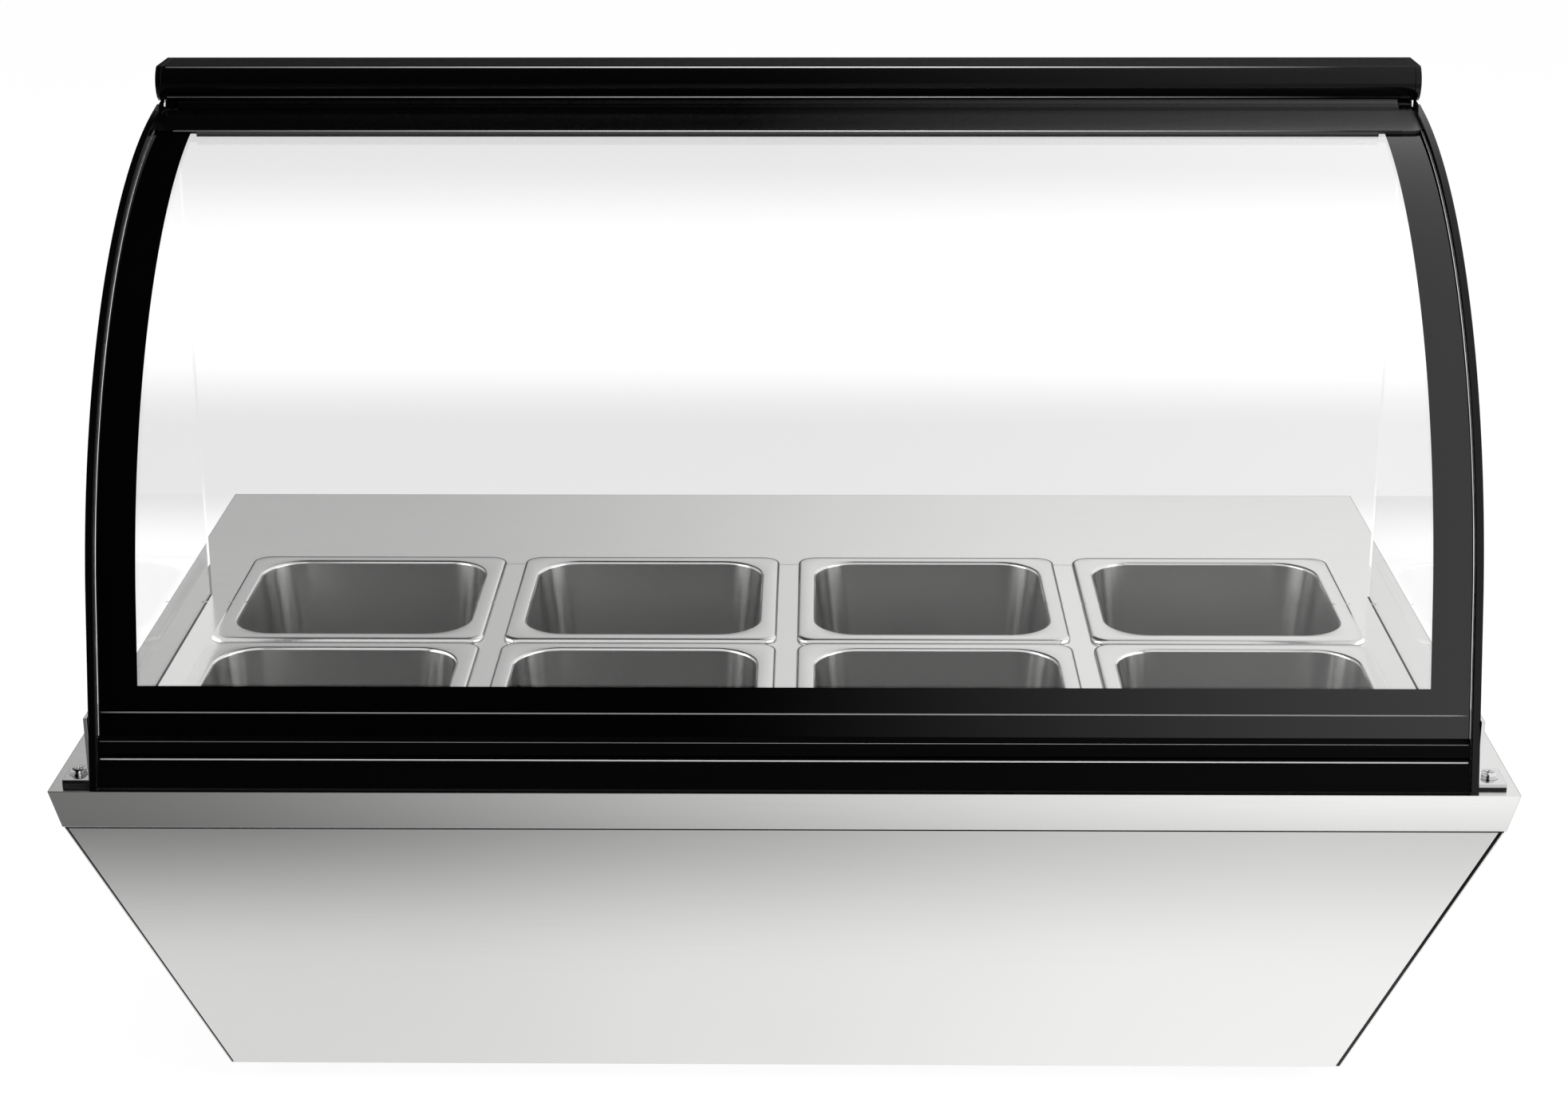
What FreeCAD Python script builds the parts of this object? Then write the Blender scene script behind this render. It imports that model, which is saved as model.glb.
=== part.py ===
"""Countertop ice cream dipping cabinet: a stainless body with a refrigerated well for eight
sixth-size pans, and a curved glass front that tips up from a hinge along its top edge.

All lengths are in millimetres. Most pieces are drawn in the deck frame: x to the right,
y from the front edge of the deck to the rear, z up from the top of the deck.
"""

import FreeCAD, Part
import math
import os

import Sketcher

Vector = FreeCAD.Vector

# ---------------------------------------------------------------------------
# Driving dimensions
# ---------------------------------------------------------------------------

DRIVING = {
    # deck and folded rim
    "counter_width": 824, "counter_depth": 540, "rim_height": 24, "rim_lean": 12,
    "sheet": 1.2, "hem_width": 12,
    # lower casing
    "hull_height": 188, "hull_lean": 20, "seam": 1, "reveal": 1, "return_width": 12,
    "rear_inset": 5, "panel_gap": 0.4, "foot_height": 15, "tray_sheet": 1.5,
    "tray_flange": 12, "tray_gap": 5,
    # pans (sixth-size containers) and the well they hang in
    "pan_width": 176, "pan_depth": 162, "pan_drop": 97, "pan_flange": 12.5, "pan_sheet": 0.8,
    "pan_lip": 3, "pan_taper": 7, "pan_corner": 24, "flange_corner": 10,
    "pan_gap": 11.5, "row_gap": 2.5, "row_front": 67.5, "flange_rest": 8.75,
    "well_corner": 14, "lip_depth": 12,
    "liner_sheet": 1, "liner_drop": 112, "liner_taper": 13, "liner_side_gap": 4.2,
    "liner_end_gap": 9, "liner_flange": 8, "liner_corner": 20,
    "divider_width": 24, "divider_depth": 12, "divider_sheet": 1.5, "tongue_width": 20,
    "tongue_reach": 5, "tongue_root": 15,
    # insulation and machine compartment
    "wall_place": 416, "wall_sheet": 1, "foam_gap": 0.5, "coil_tube": 8, "coil_bend": 30,
    # curved front glass
    "pane_thick": 5, "pane_foot": 6, "pane_lean": 76, "pane_rise": 105, "pane_radius": 305,
    "pane_slope": 10, "pane_tail": 8, "pane_lift": 3,
    "glass_half": 388.5, "side_glass": 3, "trim_wall": 0.6, "trim_proud": 5, "trim_grip": 6,
    "pane_side_gap": 0.5,
    # top bar, hinge and clamp strip
    "bar_top": 358, "bar_depth": 34, "bar_wall": 1.8, "bar_nose": 12.5,
    "clip_leg": 16, "clip_arm": 14, "clip_sheet": 1.5, "clip_offset": 12,
    "bead_radius": 3, "bead_fit": 0.08, "claw_wall": 1.8, "neck_thick": 1.6, "strip_reach": 5.6,
    "strip_sheet": 2, "strip_turn": 10.4, "grip_turn": 4.7, "strip_half": 375,
    "strip_corner": 7, "gasket_width": 4, "gasket_thick": 1.6,
    "mouth_top": 112, "mouth_low": 208,
    # bottom profile of the glass
    "shoe_height": 29, "shoe_lift": 1.2, "shoe_nose": 3.5, "shoe_groove": 19,
    # brackets and screws
    "bracket_sheet": 2, "bracket_height": 41, "bracket_depth": 22, "bracket_foot": 17,
    "bracket_place": 8, "pad_thick": 1.5, "screw_head": 9, "screw_thread": 4, "washer": 11.4,
    "screw_reach": 8, "washer_thick": 0.8, "screw_rise": 1.8,
    # rubber feet
    "foot_radius": 19, "foot_inset": 52, "bolt": 6,
    # refrigeration unit
    "can_radius": 48, "can_height": 132, "can_dome": 16, "can_inset": 106.7, "mount_height": 12,
    "mount_half": 50, "mount_radius": 8, "plate_ear": 10, "plate_thick": 2.5,
    "mount_inset": 14, "box_thick": 16, "box_half": 22, "box_foot": 14,
    "accumulator_gap": 82, "accumulator_radius": 17, "accumulator_height": 118,
    "bottle_foot": 30, "bottle_body": 76, "drier_radius": 10, "drier_half": 38,
    "drier_neck": 9, "line_tube": 6, "line_bend": 14, "coil_lift": 6,
    "fin_sheet": 2, "frame_depth": 14, "frame_arm": 3,
    "motor_radius": 24, "motor_length": 22, "shaft": 2.5, "hub_start": 3, "hub_length": 9,
    "fan_radius": 52, "fan_place": -190, "fan_hub": 17, "blade_count": 5,
    "blade_chord": 24, "blade_half_thick": 0.6, "blade_pitch": 26,
    "coil_width": 190, "coil_height": 112, "fin_count": 16, "fin_depth": 24,
    "fan_frame": 124, "fan_gap": 3.5,
    # controls on the rear panel
    "knob_radius": 19, "knob_height": 14, "knob_place": 26, "switch_place": -36,
    "inlet_place": 84, "control_height": 100, "stem_radius": 3, "switch_width": 19.4,
    "switch_height": 13, "inlet_width": 27.5, "inlet_height": 20,
    "knob_fit": 0.05, "knob_gap": 0.4, "ridge_rise": 1.5, "ridge_half": 2, "skirt": 4,
    "body_half": 18, "body_rise": 14, "body_depth": 24, "stem_reach": 9, "bezel": 1.5,
    "switch_depth": 18, "well_depth": 8, "rocker_gap": 0.8, "rocker_sink": 4,
    "rocker_tilt": 1.2, "pin_radius": 1.2, "inlet_ear": 10, "inlet_plate": 2.5,
    "inlet_depth": 20, "inlet_wall": 2, "blade_pitch_x": 7, "blade_pitch_z": 2,
    "blade_half": 1, "blade_tall": 2, "blade_reach": 13, "blade_root": 14,
    # louvres
    "louvre_length": 124, "louvre_pitch": 15, "louvre_count": 8, "louvre_reach": 4,
    "louvre_height": 9, "louvre_start": 38, "louvre_nose": 1.5, "louvre_wall": 1,
}

# Flats that make one rounded corner of a pressed piece, and one turn of a hidden round piece.
PAN_FLATS = 6
RIM_FLATS = 2
LINER_FLATS = 4
ROUND_FLATS = 24
SMALL_FLATS = 12
TUBE_FLATS = 8
CAN_FLATS = 30

doc = FreeCAD.newDocument("dipping_cabinet")
sheet = doc.addObject("Spreadsheet::Sheet", "sizes")
for row, (alias, number) in enumerate(DRIVING.items(), start=1):
    sheet.set(f"B{row}", str(number))
    sheet.setAlias(f"B{row}", alias)
doc.recompute()

# Places worked out from the driving dimensions, each one a named expression.
places = doc.addObject("App::VarSet", "places")


def work_out(name, text):
    """Adds one derived length, bound to the driving dimensions."""
    places.addProperty("App::PropertyFloat", name)
    places.setExpression(name, text)
    places.recompute()


DERIVED = {
    "deck": "sizes.foot_height + sizes.hull_height + sizes.seam + sizes.rim_height",
    "half_width": "sizes.counter_width / 2",
    "rim_inset": "sizes.rim_height * tan(sizes.rim_lean)",
    "rim_run": "sizes.sheet / cos(sizes.rim_lean)",
    # casing outline: half width and front edge at its top, and how far it draws in
    "hull_top": "-(sizes.rim_height + sizes.seam)",
    "hull_base": "places.hull_top - sizes.hull_height",
    "hull_half": "places.half_width - places.rim_inset - sizes.reveal",
    "hull_front": "places.rim_inset + sizes.reveal",
    "hull_draw": "sizes.hull_height * tan(sizes.hull_lean)",
    "hull_run": "sizes.sheet / cos(sizes.hull_lean)",
    "hull_rear": "sizes.counter_depth - sizes.rear_inset",
    "middle": "(places.hull_rear + sizes.knob_gap + sizes.knob_height + sizes.ridge_rise) / 2",
    "base_half": "places.hull_half - places.hull_draw",
    "base_front": "places.hull_front + places.hull_draw",
    "tray_floor": "places.hull_base + sizes.sheet + sizes.tray_sheet",
    # pans and well
    "pitch": "sizes.pan_width + sizes.pan_gap",
    "row_pitch": "sizes.pan_depth + sizes.row_gap",
    "field_half": "2 * sizes.pan_width + 1.5 * sizes.pan_gap",
    "field_rear": "sizes.row_front + 2 * sizes.pan_depth + sizes.row_gap",
    "well_half": "places.field_half - sizes.flange_rest",
    "well_front": "sizes.row_front + sizes.flange_rest",
    "well_rear": "places.field_rear - sizes.flange_rest",
    "liner_half": "places.well_half + sizes.liner_side_gap",
    "liner_front": "places.well_front - sizes.liner_end_gap",
    "liner_rear": "places.well_rear + sizes.liner_end_gap",
    "liner_top": "-(sizes.sheet + 0.2)",
    "coil_level": "-(sizes.liner_drop + sizes.liner_sheet + sizes.coil_tube / 2 + 0.3)",
    "coil_end": "places.liner_half - sizes.liner_taper - 40",
    "foam_top": "places.liner_top - sizes.liner_sheet - sizes.foam_gap",
    # curve of the pane's outer face: end of the straight, centre, end of the bend
    "rise_y": "sizes.pane_foot + sizes.pane_rise * cos(sizes.pane_lean)",
    "rise_z": "sizes.pane_rise * sin(sizes.pane_lean)",
    "curve_y": "places.rise_y + sizes.pane_radius * sin(sizes.pane_lean)",
    "curve_z": "places.rise_z - sizes.pane_radius * cos(sizes.pane_lean)",
    "crest_y": "places.curve_y - sizes.pane_radius * sin(sizes.pane_slope)",
    "crest_z": "places.curve_z + sizes.pane_radius * cos(sizes.pane_slope)",
    # hinge axis, reckoned along the slope of the pane's top edge
    "hinge_run": "sizes.pane_tail + 0.3 + sizes.strip_sheet + sizes.strip_reach",
    "hinge_rise": "sizes.strip_sheet + 2",
    "hinge_y": "places.crest_y + places.hinge_run * cos(sizes.pane_slope)"
               " - places.hinge_rise * sin(sizes.pane_slope)",
    "hinge_z": "places.crest_z + places.hinge_run * sin(sizes.pane_slope)"
               " + places.hinge_rise * cos(sizes.pane_slope)",
    "pane_half": "sizes.glass_half - sizes.side_glass - 2 * sizes.trim_wall"
                 " - sizes.pane_side_gap",
    "bar_rear": "places.hinge_y + sizes.bar_depth",
    "bar_under": "places.hinge_z + 1.8",
    "gasket_end": "sizes.pane_slope + sizes.strip_turn"
                  " + sizes.gasket_width / sizes.pane_radius * 180 / pi",
    "trim_width": "sizes.side_glass + 2 * sizes.trim_wall",
    "trim_end": "sizes.pane_tail + 4",
    "clip_face": "sizes.glass_half - sizes.trim_wall - sizes.side_glass",
    # brackets, feet and controls
    "screw_x": "sizes.glass_half + sizes.bracket_foot - 7",
    "screw_y": "sizes.bracket_place + sizes.bracket_depth / 2",
    "foot_x": "places.base_half - sizes.foot_inset",
    "foot_front": "places.base_front + sizes.foot_inset",
    "foot_rear": "places.hull_rear - sizes.foot_inset",
    "control_level": "places.hull_base + sizes.control_height",
    # machine compartment
    "drier_level": "places.tray_floor + sizes.coil_lift + sizes.coil_height / 4",
    "discharge_level": "places.tray_floor + sizes.coil_lift + 3 * sizes.coil_height / 4",
    "wall_rear": "sizes.wall_place + sizes.wall_sheet",
    "coil_row": "places.hull_rear - sizes.tray_gap - sizes.tray_sheet - 1"
                " - sizes.fin_depth / 2",
    "fan_row": "places.coil_row - sizes.fin_depth / 2 - 2",
    "can_place": "places.coil_end - sizes.can_inset",
    "bay_middle": "(sizes.wall_place + sizes.wall_sheet + places.hull_rear - sizes.sheet) / 2",
}
for name, text in DERIVED.items():
    work_out(name, text)
gauge = doc.addObject("App::VarSet", "gauge")
gauge.addProperty("App::PropertyFloat", "reading")
doc.recompute()


def value(text):
    """The number that an expression gives with the present sizes."""
    gauge.setExpression("reading", text)
    gauge.recompute()
    return gauge.reading


# ---------------------------------------------------------------------------
# Sketch and feature helpers
# ---------------------------------------------------------------------------

nodes = []


def place_body(body, x="0", y="0", z="0"):
    """Stands a sub-part at a place in the deck frame."""
    body.setExpression("Placement.Base.x", x)
    body.setExpression("Placement.Base.y", f"({y}) - places.middle")
    body.setExpression("Placement.Base.z", f"({z}) + places.deck")


def new_body(name, x="0", y="0", z="0"):
    """Starts the body of one sub-part, placed in the deck frame."""
    body = doc.addObject("PartDesign::Body", name)
    body.Label = name
    place_body(body, x, y, z)
    nodes.append(body)
    return body


def origin_feature(body, role):
    """One of the body's own origin planes or axes."""
    return next(item for item in body.Origin.OriginFeatures if item.Role == role)


def new_sketch(body, plane, level="0"):
    """A sketch on an origin plane, moved along the plane's normal to a level."""
    sketch = body.newObject("Sketcher::SketchObject", f"{body.Name}_sketch")
    sketch.AttachmentSupport = [(origin_feature(body, plane), "")]
    sketch.MapMode = "FlatFace"
    if level != "0":
        sketch.setExpression("AttachmentOffset.Base.z", level)
    return sketch


def fix_point(sketch, item, end, x, y):
    """Holds one end of a sketch element at a named place."""
    for kind, axis, text in (("DistanceX", -2, x), ("DistanceY", -1, y)):
        if text == "0":
            sketch.addConstraint(Sketcher.Constraint("PointOnObject", item, end, axis))
            continue
        index = sketch.addConstraint(Sketcher.Constraint(kind, -1, 1, item, end, value(text)))
        sketch.setExpression(f"Constraints[{index}]", text)


def arc_between(start, end, radius, side, major):
    """An arc from start to end whose bulge lies to the left (1) or right (-1) of the way."""
    chord = end.sub(start)
    half = chord.Length / 2
    rise = math.sqrt(max(radius * radius - half * half, 0.0))
    normal = Vector(-chord.y, chord.x, 0).normalize()
    toward = side if major else -side
    centre = start + chord * 0.5 + normal * (rise * toward)
    first = math.atan2(start.y - centre.y, start.x - centre.x)
    last = math.atan2(end.y - centre.y, end.x - centre.x)
    circle = Part.Circle(centre, Vector(0, 0, 1), radius)
    if side > 0:
        return Part.ArcOfCircle(circle, last, first), 2, 1
    return Part.ArcOfCircle(circle, first, last), 1, 2


def draw_loop(sketch, corners, bends=None):
    """Draws a closed outline through corners given as (x, y) expressions.

    bends maps the number of a side to (radius, side) or (radius, side, True) for the long
    way round; every other side is straight.
    """
    bends = bends or {}
    spots = [Vector(value(x), value(y), 0) for x, y in corners]
    count = len(corners)
    sides = []
    for number in range(count):
        start, end = spots[number], spots[(number + 1) % count]
        if number in bends:
            radius, side = bends[number][:2]
            major = len(bends[number]) > 2
            arc, first, last = arc_between(start, end, value(radius), side, major)
            item = sketch.addGeometry(arc, False)
            sides.append((item, first, last))
        else:
            item = sketch.addGeometry(Part.LineSegment(start, end), False)
            sides.append((item, 1, 2))
    for number, (item, first, last) in enumerate(sides):
        after, after_first, _ = sides[(number + 1) % count]
        sketch.addConstraint(Sketcher.Constraint("Coincident", item, last, after, after_first))
        fix_point(sketch, item, first, *corners[number])
        if number in bends:
            radius = bends[number][0]
            index = sketch.addConstraint(Sketcher.Constraint("Radius", item, value(radius)))
            sketch.setExpression(f"Constraints[{index}]", radius)
    return sketch


def draw_rectangle(sketch, left, right, low, high):
    """A rectangle between four edges, each an expression."""
    return draw_loop(sketch, [(left, low), (right, low), (right, high), (left, high)])


def draw_rounded(sketch, left, right, low, high, radius):
    """A rectangle with rounded corners."""
    corners = [
        (f"{left} + {radius}", low), (f"{right} - {radius}", low),
        (right, f"{low} + {radius}"), (right, f"{high} - {radius}"),
        (f"{right} - {radius}", high), (f"{left} + {radius}", high),
        (left, f"{high} - {radius}"), (left, f"{low} + {radius}"),
    ]
    return draw_loop(sketch, corners, {number: (radius, -1) for number in (1, 3, 5, 7)})


def draw_flatted(sketch, left, right, low, high, radius, flats):
    """A rectangle whose round corners are each made of a number of equal flats."""
    corners = []
    for number, (x, y) in enumerate((
            (f"{left} + {radius}", f"{low} + {radius}"),
            (f"{right} - {radius}", f"{low} + {radius}"),
            (f"{right} - {radius}", f"{high} - {radius}"),
            (f"{left} + {radius}", f"{high} - {radius}"))):
        for step in range(flats + 1):
            angle = 180 + 90 * number + 90 * step / flats
            corners.append((f"{x} + {radius} * cos({angle})", f"{y} + {radius} * sin({angle})"))
    return draw_loop(sketch, corners)


def draw_polygon(sketch, x, y, radius, sides):
    """A regular polygon round a circle, for a hidden round piece made with flats."""
    reach = f"({radius}) / cos({180 / sides})"
    angles = [360 * (number + 0.5) / sides for number in range(sides)]
    return draw_loop(sketch, [(f"{x} + {reach} * cos({angle})", f"{y} + {reach} * sin({angle})")
                              for angle in angles])


def draw_circle(sketch, x, y, radius):
    """A circle held by its centre and radius."""
    centre = Vector(value(x), value(y), 0)
    item = sketch.addGeometry(Part.Circle(centre, Vector(0, 0, 1), value(radius)), False)
    fix_point(sketch, item, 3, x, y)
    index = sketch.addConstraint(Sketcher.Constraint("Radius", item, value(radius)))
    sketch.setExpression(f"Constraints[{index}]", radius)
    return sketch


def solid_volume(body):
    """Volume of what the body holds so far."""
    return body.Tip.Shape.Volume if body.Tip else 0.0


def add_feature(body, kind, settings):
    """Adds a feature and checks that it changed the solid."""
    before = solid_volume(body)
    feature = body.newObject(f"PartDesign::{kind}", f"{body.Name}_{kind.lower()}")
    for key, setting in settings.items():
        setattr(feature, key, setting)
    return feature, before


def settle(body, feature, before):
    """Recomputes, and stops if the feature failed or changed nothing."""
    doc.recompute()
    after = feature.Shape.Volume
    if "Invalid" in feature.State or after < 1e-6 or abs(after - before) < 1e-6:
        raise RuntimeError(f"{body.Name}: {feature.Name} failed or changed nothing")
    body.Tip = feature
    return feature


def extrude(body, kind, sketch, length, symmetric, reverse, taper):
    """A pad or a pocket, drawn in by a taper angle where one is given."""
    side = "Symmetric" if symmetric else "One side"
    feature, before = add_feature(
        body, kind, {"Profile": sketch, "SideType": side, "Reversed": reverse})
    feature.setExpression("Length", length)
    if taper:
        feature.setExpression("TaperAngle", taper)
    return settle(body, feature, before)


def pad(body, sketch, length, symmetric=False, reverse=False, taper=None):
    """Pads a sketch along its normal, both ways, or against it."""
    return extrude(body, "Pad", sketch, length, symmetric, reverse, taper)


def pocket(body, sketch, length, symmetric=False, reverse=False, taper=None):
    """Cuts a sketch against its normal, both ways, or along it."""
    return extrude(body, "Pocket", sketch, length, symmetric, reverse, taper)


def round_edges(body, radius, chosen, kind="Fillet"):
    """Rounds or bevels the edges that the test picks."""
    base = body.Tip
    names = [f"Edge{number}" for number, edge in enumerate(base.Shape.Edges, start=1)
             if chosen(edge)]
    feature, before = add_feature(body, kind, {"Base": (base, names)})
    feature.setExpression("Radius" if kind == "Fillet" else "Size", radius)
    return settle(body, feature, before)


def polar(body, originals, axis, count):
    """Repeats features round one of the body's own axes."""
    feature, before = add_feature(
        body, "PolarPattern",
        {"Originals": originals, "Axis": (origin_feature(body, axis), [""]), "Angle": 360})
    feature.setExpression("Occurrences", count)
    return settle(body, feature, before)


def linear(body, originals, axis, pitch, count):
    """Repeats features along one of the body's own axes."""
    feature, before = add_feature(
        body, "LinearPattern",
        {"Originals": originals, "Direction": (origin_feature(body, axis), [""]),
         "Mode": "Spacing"})
    feature.setExpression("Offset", pitch)
    feature.setExpression("Occurrences", count)
    return settle(body, feature, before)


def spans(edge, axis, least):
    """True where an edge runs at least so far along an axis."""
    box = edge.BoundBox
    return {"x": box.XLength, "y": box.YLength, "z": box.ZLength}[axis] >= least


def lies_at(edge, axis, place):
    """True where a whole edge lies at one place along an axis."""
    box = edge.BoundBox
    low = {"x": box.XMin, "y": box.YMin, "z": box.ZMin}[axis]
    high = {"x": box.XMax, "y": box.YMax, "z": box.ZMax}[axis]
    return abs(low - place) < 0.05 and abs(high - place) < 0.05


# ---------------------------------------------------------------------------
# Casing
# ---------------------------------------------------------------------------

def build_counter_top():
    """The deck: one folded sheet with a leaning rim, a hem and the lipped well opening."""
    body = new_body("counter_top")
    outer = draw_rectangle(new_sketch(body, "XY_Plane"), "-places.half_width",
                           "places.half_width", "0", "sizes.counter_depth")
    pad(body, outer, "sizes.rim_height", reverse=True, taper="-sizes.rim_lean")
    # hollow underneath: the walls keep their thickness square to the leaning rim
    inset = "(places.rim_run + sizes.sheet * tan(sizes.rim_lean))"
    hollow = draw_rectangle(
        new_sketch(body, "XY_Plane", "-sizes.sheet"), f"-(places.half_width - {inset})",
        f"places.half_width - {inset}", inset, f"sizes.counter_depth - {inset}")
    pocket(body, hollow, "sizes.rim_height", taper="-sizes.rim_lean")
    # hem folded in along the bottom of the rim
    hem = new_sketch(body, "XY_Plane", "-sizes.rim_height")
    for fold in ("(places.rim_inset + sizes.sheet / 2)",
                 "(places.rim_inset + sizes.hem_width)"):
        draw_rectangle(hem, f"-(places.half_width - {fold})", f"places.half_width - {fold}",
                       fold, f"sizes.counter_depth - {fold}")
    pad(body, hem, "sizes.sheet")
    # well opening with its edge turned down
    opening = draw_rounded(new_sketch(body, "XY_Plane"), "-places.well_half",
                           "places.well_half", "places.well_front", "places.well_rear",
                           "sizes.well_corner")
    pocket(body, opening, "2 * sizes.sheet")
    lip = new_sketch(body, "XY_Plane", "-sizes.sheet / 2")
    draw_rounded(lip, "-places.well_half", "places.well_half", "places.well_front",
                 "places.well_rear", "sizes.well_corner")
    draw_rounded(lip, "-places.well_half - sizes.sheet", "places.well_half + sizes.sheet",
                 "places.well_front - sizes.sheet", "places.well_rear + sizes.sheet",
                 "(sizes.well_corner + sizes.sheet)")
    pad(body, lip, "sizes.lip_depth - sizes.sheet / 2", reverse=True)
    # notches in the front and rear lips that carry the tongues of the dividers
    middle = "-(places.well_front + places.well_rear) / 2"
    notches = new_sketch(body, "XZ_Plane", middle)
    for column in (-1, 0, 1):
        draw_rectangle(notches, f"{column} * places.pitch - sizes.tongue_width / 2 - 0.3",
                       f"{column} * places.pitch + sizes.tongue_width / 2 + 0.3",
                       "-(2 * sizes.divider_sheet)", "-sizes.sheet")
    pocket(body, notches, "places.well_rear - places.well_front + 2 * sizes.sheet + 2",
           symmetric=True)
    holes = new_sketch(body, "XY_Plane")
    for side in (-1, 1):
        draw_polygon(holes, f"{side} * places.screw_x", "places.screw_y",
                     "sizes.screw_thread / 2 + 0.25", SMALL_FLATS)
    pocket(body, holes, "2 * sizes.sheet")


def folded_section(sketch, x_of, front):
    """A leaning sheet with its top and bottom edges folded in, as seen along the sheet.

    x_of turns a distance in from the casing's outline at its top into a coordinate.
    """
    low_in = f"{front} + (sizes.hull_height - sizes.sheet) * tan(sizes.hull_lean)"
    high_in = f"{front} + sizes.sheet * tan(sizes.hull_lean)"
    draw_loop(sketch, [
        (x_of(front), "places.hull_top"),
        (x_of(f"{front} + places.hull_draw"), "places.hull_base"),
        (x_of(f"{front} + places.hull_draw + sizes.return_width"), "places.hull_base"),
        (x_of(f"{front} + places.hull_draw + sizes.return_width"),
         "places.hull_base + sizes.sheet"),
        (x_of(f"{low_in} + places.hull_run"), "places.hull_base + sizes.sheet"),
        (x_of(f"{high_in} + places.hull_run"), "places.hull_top - sizes.sheet"),
        (x_of(f"{front} + sizes.return_width"), "places.hull_top - sizes.sheet"),
        (x_of(f"{front} + sizes.return_width"), "places.hull_top"),
    ])
    return sketch


def build_front_panel():
    """The leaning front sheet, trimmed at both ends to the slope of the sides."""
    body = new_body("front_panel")
    section = folded_section(new_sketch(body, "YZ_Plane"), lambda text: text,
                             "places.hull_front")
    pad(body, section, "2 * places.hull_half", symmetric=True)
    trim = new_sketch(body, "XZ_Plane")
    inset = "(places.hull_run + sizes.panel_gap)"
    for side in (-1, 1):
        top = f"{side} * (places.hull_half - {inset} + 2 * tan(sizes.hull_lean))"
        low = f"{side} * (places.base_half - {inset} - 2 * tan(sizes.hull_lean))"
        far = f"{side} * (places.half_width + 10)"
        draw_loop(trim, [(top, "places.hull_top + 2"), (far, "places.hull_top + 2"),
                         (far, "places.hull_base - 2"), (low, "places.hull_base - 2")])
    pocket(body, trim, "2 * sizes.counter_depth", symmetric=True)


def build_side_panel(name, side):
    """A leaning side sheet: folded in at the top, bottom and rear, cut to the front's slope."""
    body = new_body(name)
    section = folded_section(
        new_sketch(body, "XZ_Plane"), lambda text: f"{side} * (places.half_width - ({text}))",
        "places.half_width - places.hull_half")
    pad(body, section, "places.hull_rear", reverse=True)
    rear = "(places.hull_rear - sizes.sheet - 0.2)"
    fold = new_sketch(body, "XZ_Plane", f"-{rear}")
    corners = []
    for level in ("hull_base", "hull_top"):
        half = "base_half" if level == "hull_base" else "hull_half"
        for reach in ("places.hull_run / 2", "sizes.return_width"):
            corners.append((f"{side} * (places.{half} - {reach})", f"places.{level}"))
    draw_loop(fold, [corners[0], corners[1], corners[3], corners[2]])
    pad(body, fold, "sizes.sheet")
    trim = new_sketch(body, "YZ_Plane")
    draw_loop(trim, [("-5", "places.hull_top + 2"),
                     ("places.hull_front - 2 * tan(sizes.hull_lean)", "places.hull_top + 2"),
                     ("places.base_front + 2 * tan(sizes.hull_lean)", "places.hull_base - 2"),
                     ("-5", "places.hull_base - 2")])
    pocket(body, trim, "2 * sizes.counter_width", symmetric=True)
    # the folds stop short of the front and rear panels
    low_skin = "(places.base_half - places.hull_run)"
    top_skin = "(places.hull_half - places.hull_run - sizes.sheet * tan(sizes.hull_lean))"
    for level, skin, front, reverse in (
            ("places.hull_base", low_skin, "places.base_front", True),
            ("places.hull_top", top_skin, "places.hull_front", False)):
        ends = new_sketch(body, "XY_Plane", level)
        inner = f"{side} * ({skin} - sizes.return_width - 2)"
        draw_rectangle(ends, inner, f"{side} * {skin}", f"{front} - 1",
                       f"{front} + sizes.return_width + 2")
        draw_rectangle(ends, inner, f"{side} * {skin}", rear, "places.hull_rear + 1")
        pocket(body, ends, "sizes.sheet", reverse=reverse)


def build_rear_panel():
    """The flat rear sheet with two banks of pressed louvres and the control cut-outs."""
    body = new_body("rear_panel")
    outline = new_sketch(body, "XZ_Plane", "-places.hull_rear")
    inset = "(places.hull_run + sizes.panel_gap)"
    draw_loop(outline, [
        (f"-(places.base_half - {inset})", "places.hull_base"),
        (f"places.base_half - {inset}", "places.hull_base"),
        (f"places.hull_half - {inset}", "places.hull_top"),
        (f"-(places.hull_half - {inset})", "places.hull_top")])
    pad(body, outline, "sizes.sheet")
    for middle in ("sizes.fan_place", "places.can_place"):
        press_louvres(body, middle)
    controls = new_sketch(body, "XZ_Plane", "-places.hull_rear")
    level = "places.control_level"
    draw_circle(controls, "sizes.knob_place", level, "sizes.stem_radius + 1")
    draw_rectangle(controls, "sizes.switch_place - sizes.switch_width / 2",
                   "sizes.switch_place + sizes.switch_width / 2",
                   f"{level} - sizes.switch_height / 2", f"{level} + sizes.switch_height / 2")
    draw_rectangle(controls, "sizes.inlet_place - sizes.inlet_width / 2",
                   "sizes.inlet_place + sizes.inlet_width / 2",
                   f"{level} - sizes.inlet_height / 2", f"{level} + sizes.inlet_height / 2")
    pocket(body, controls, "2 * sizes.sheet", reverse=True)


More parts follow.
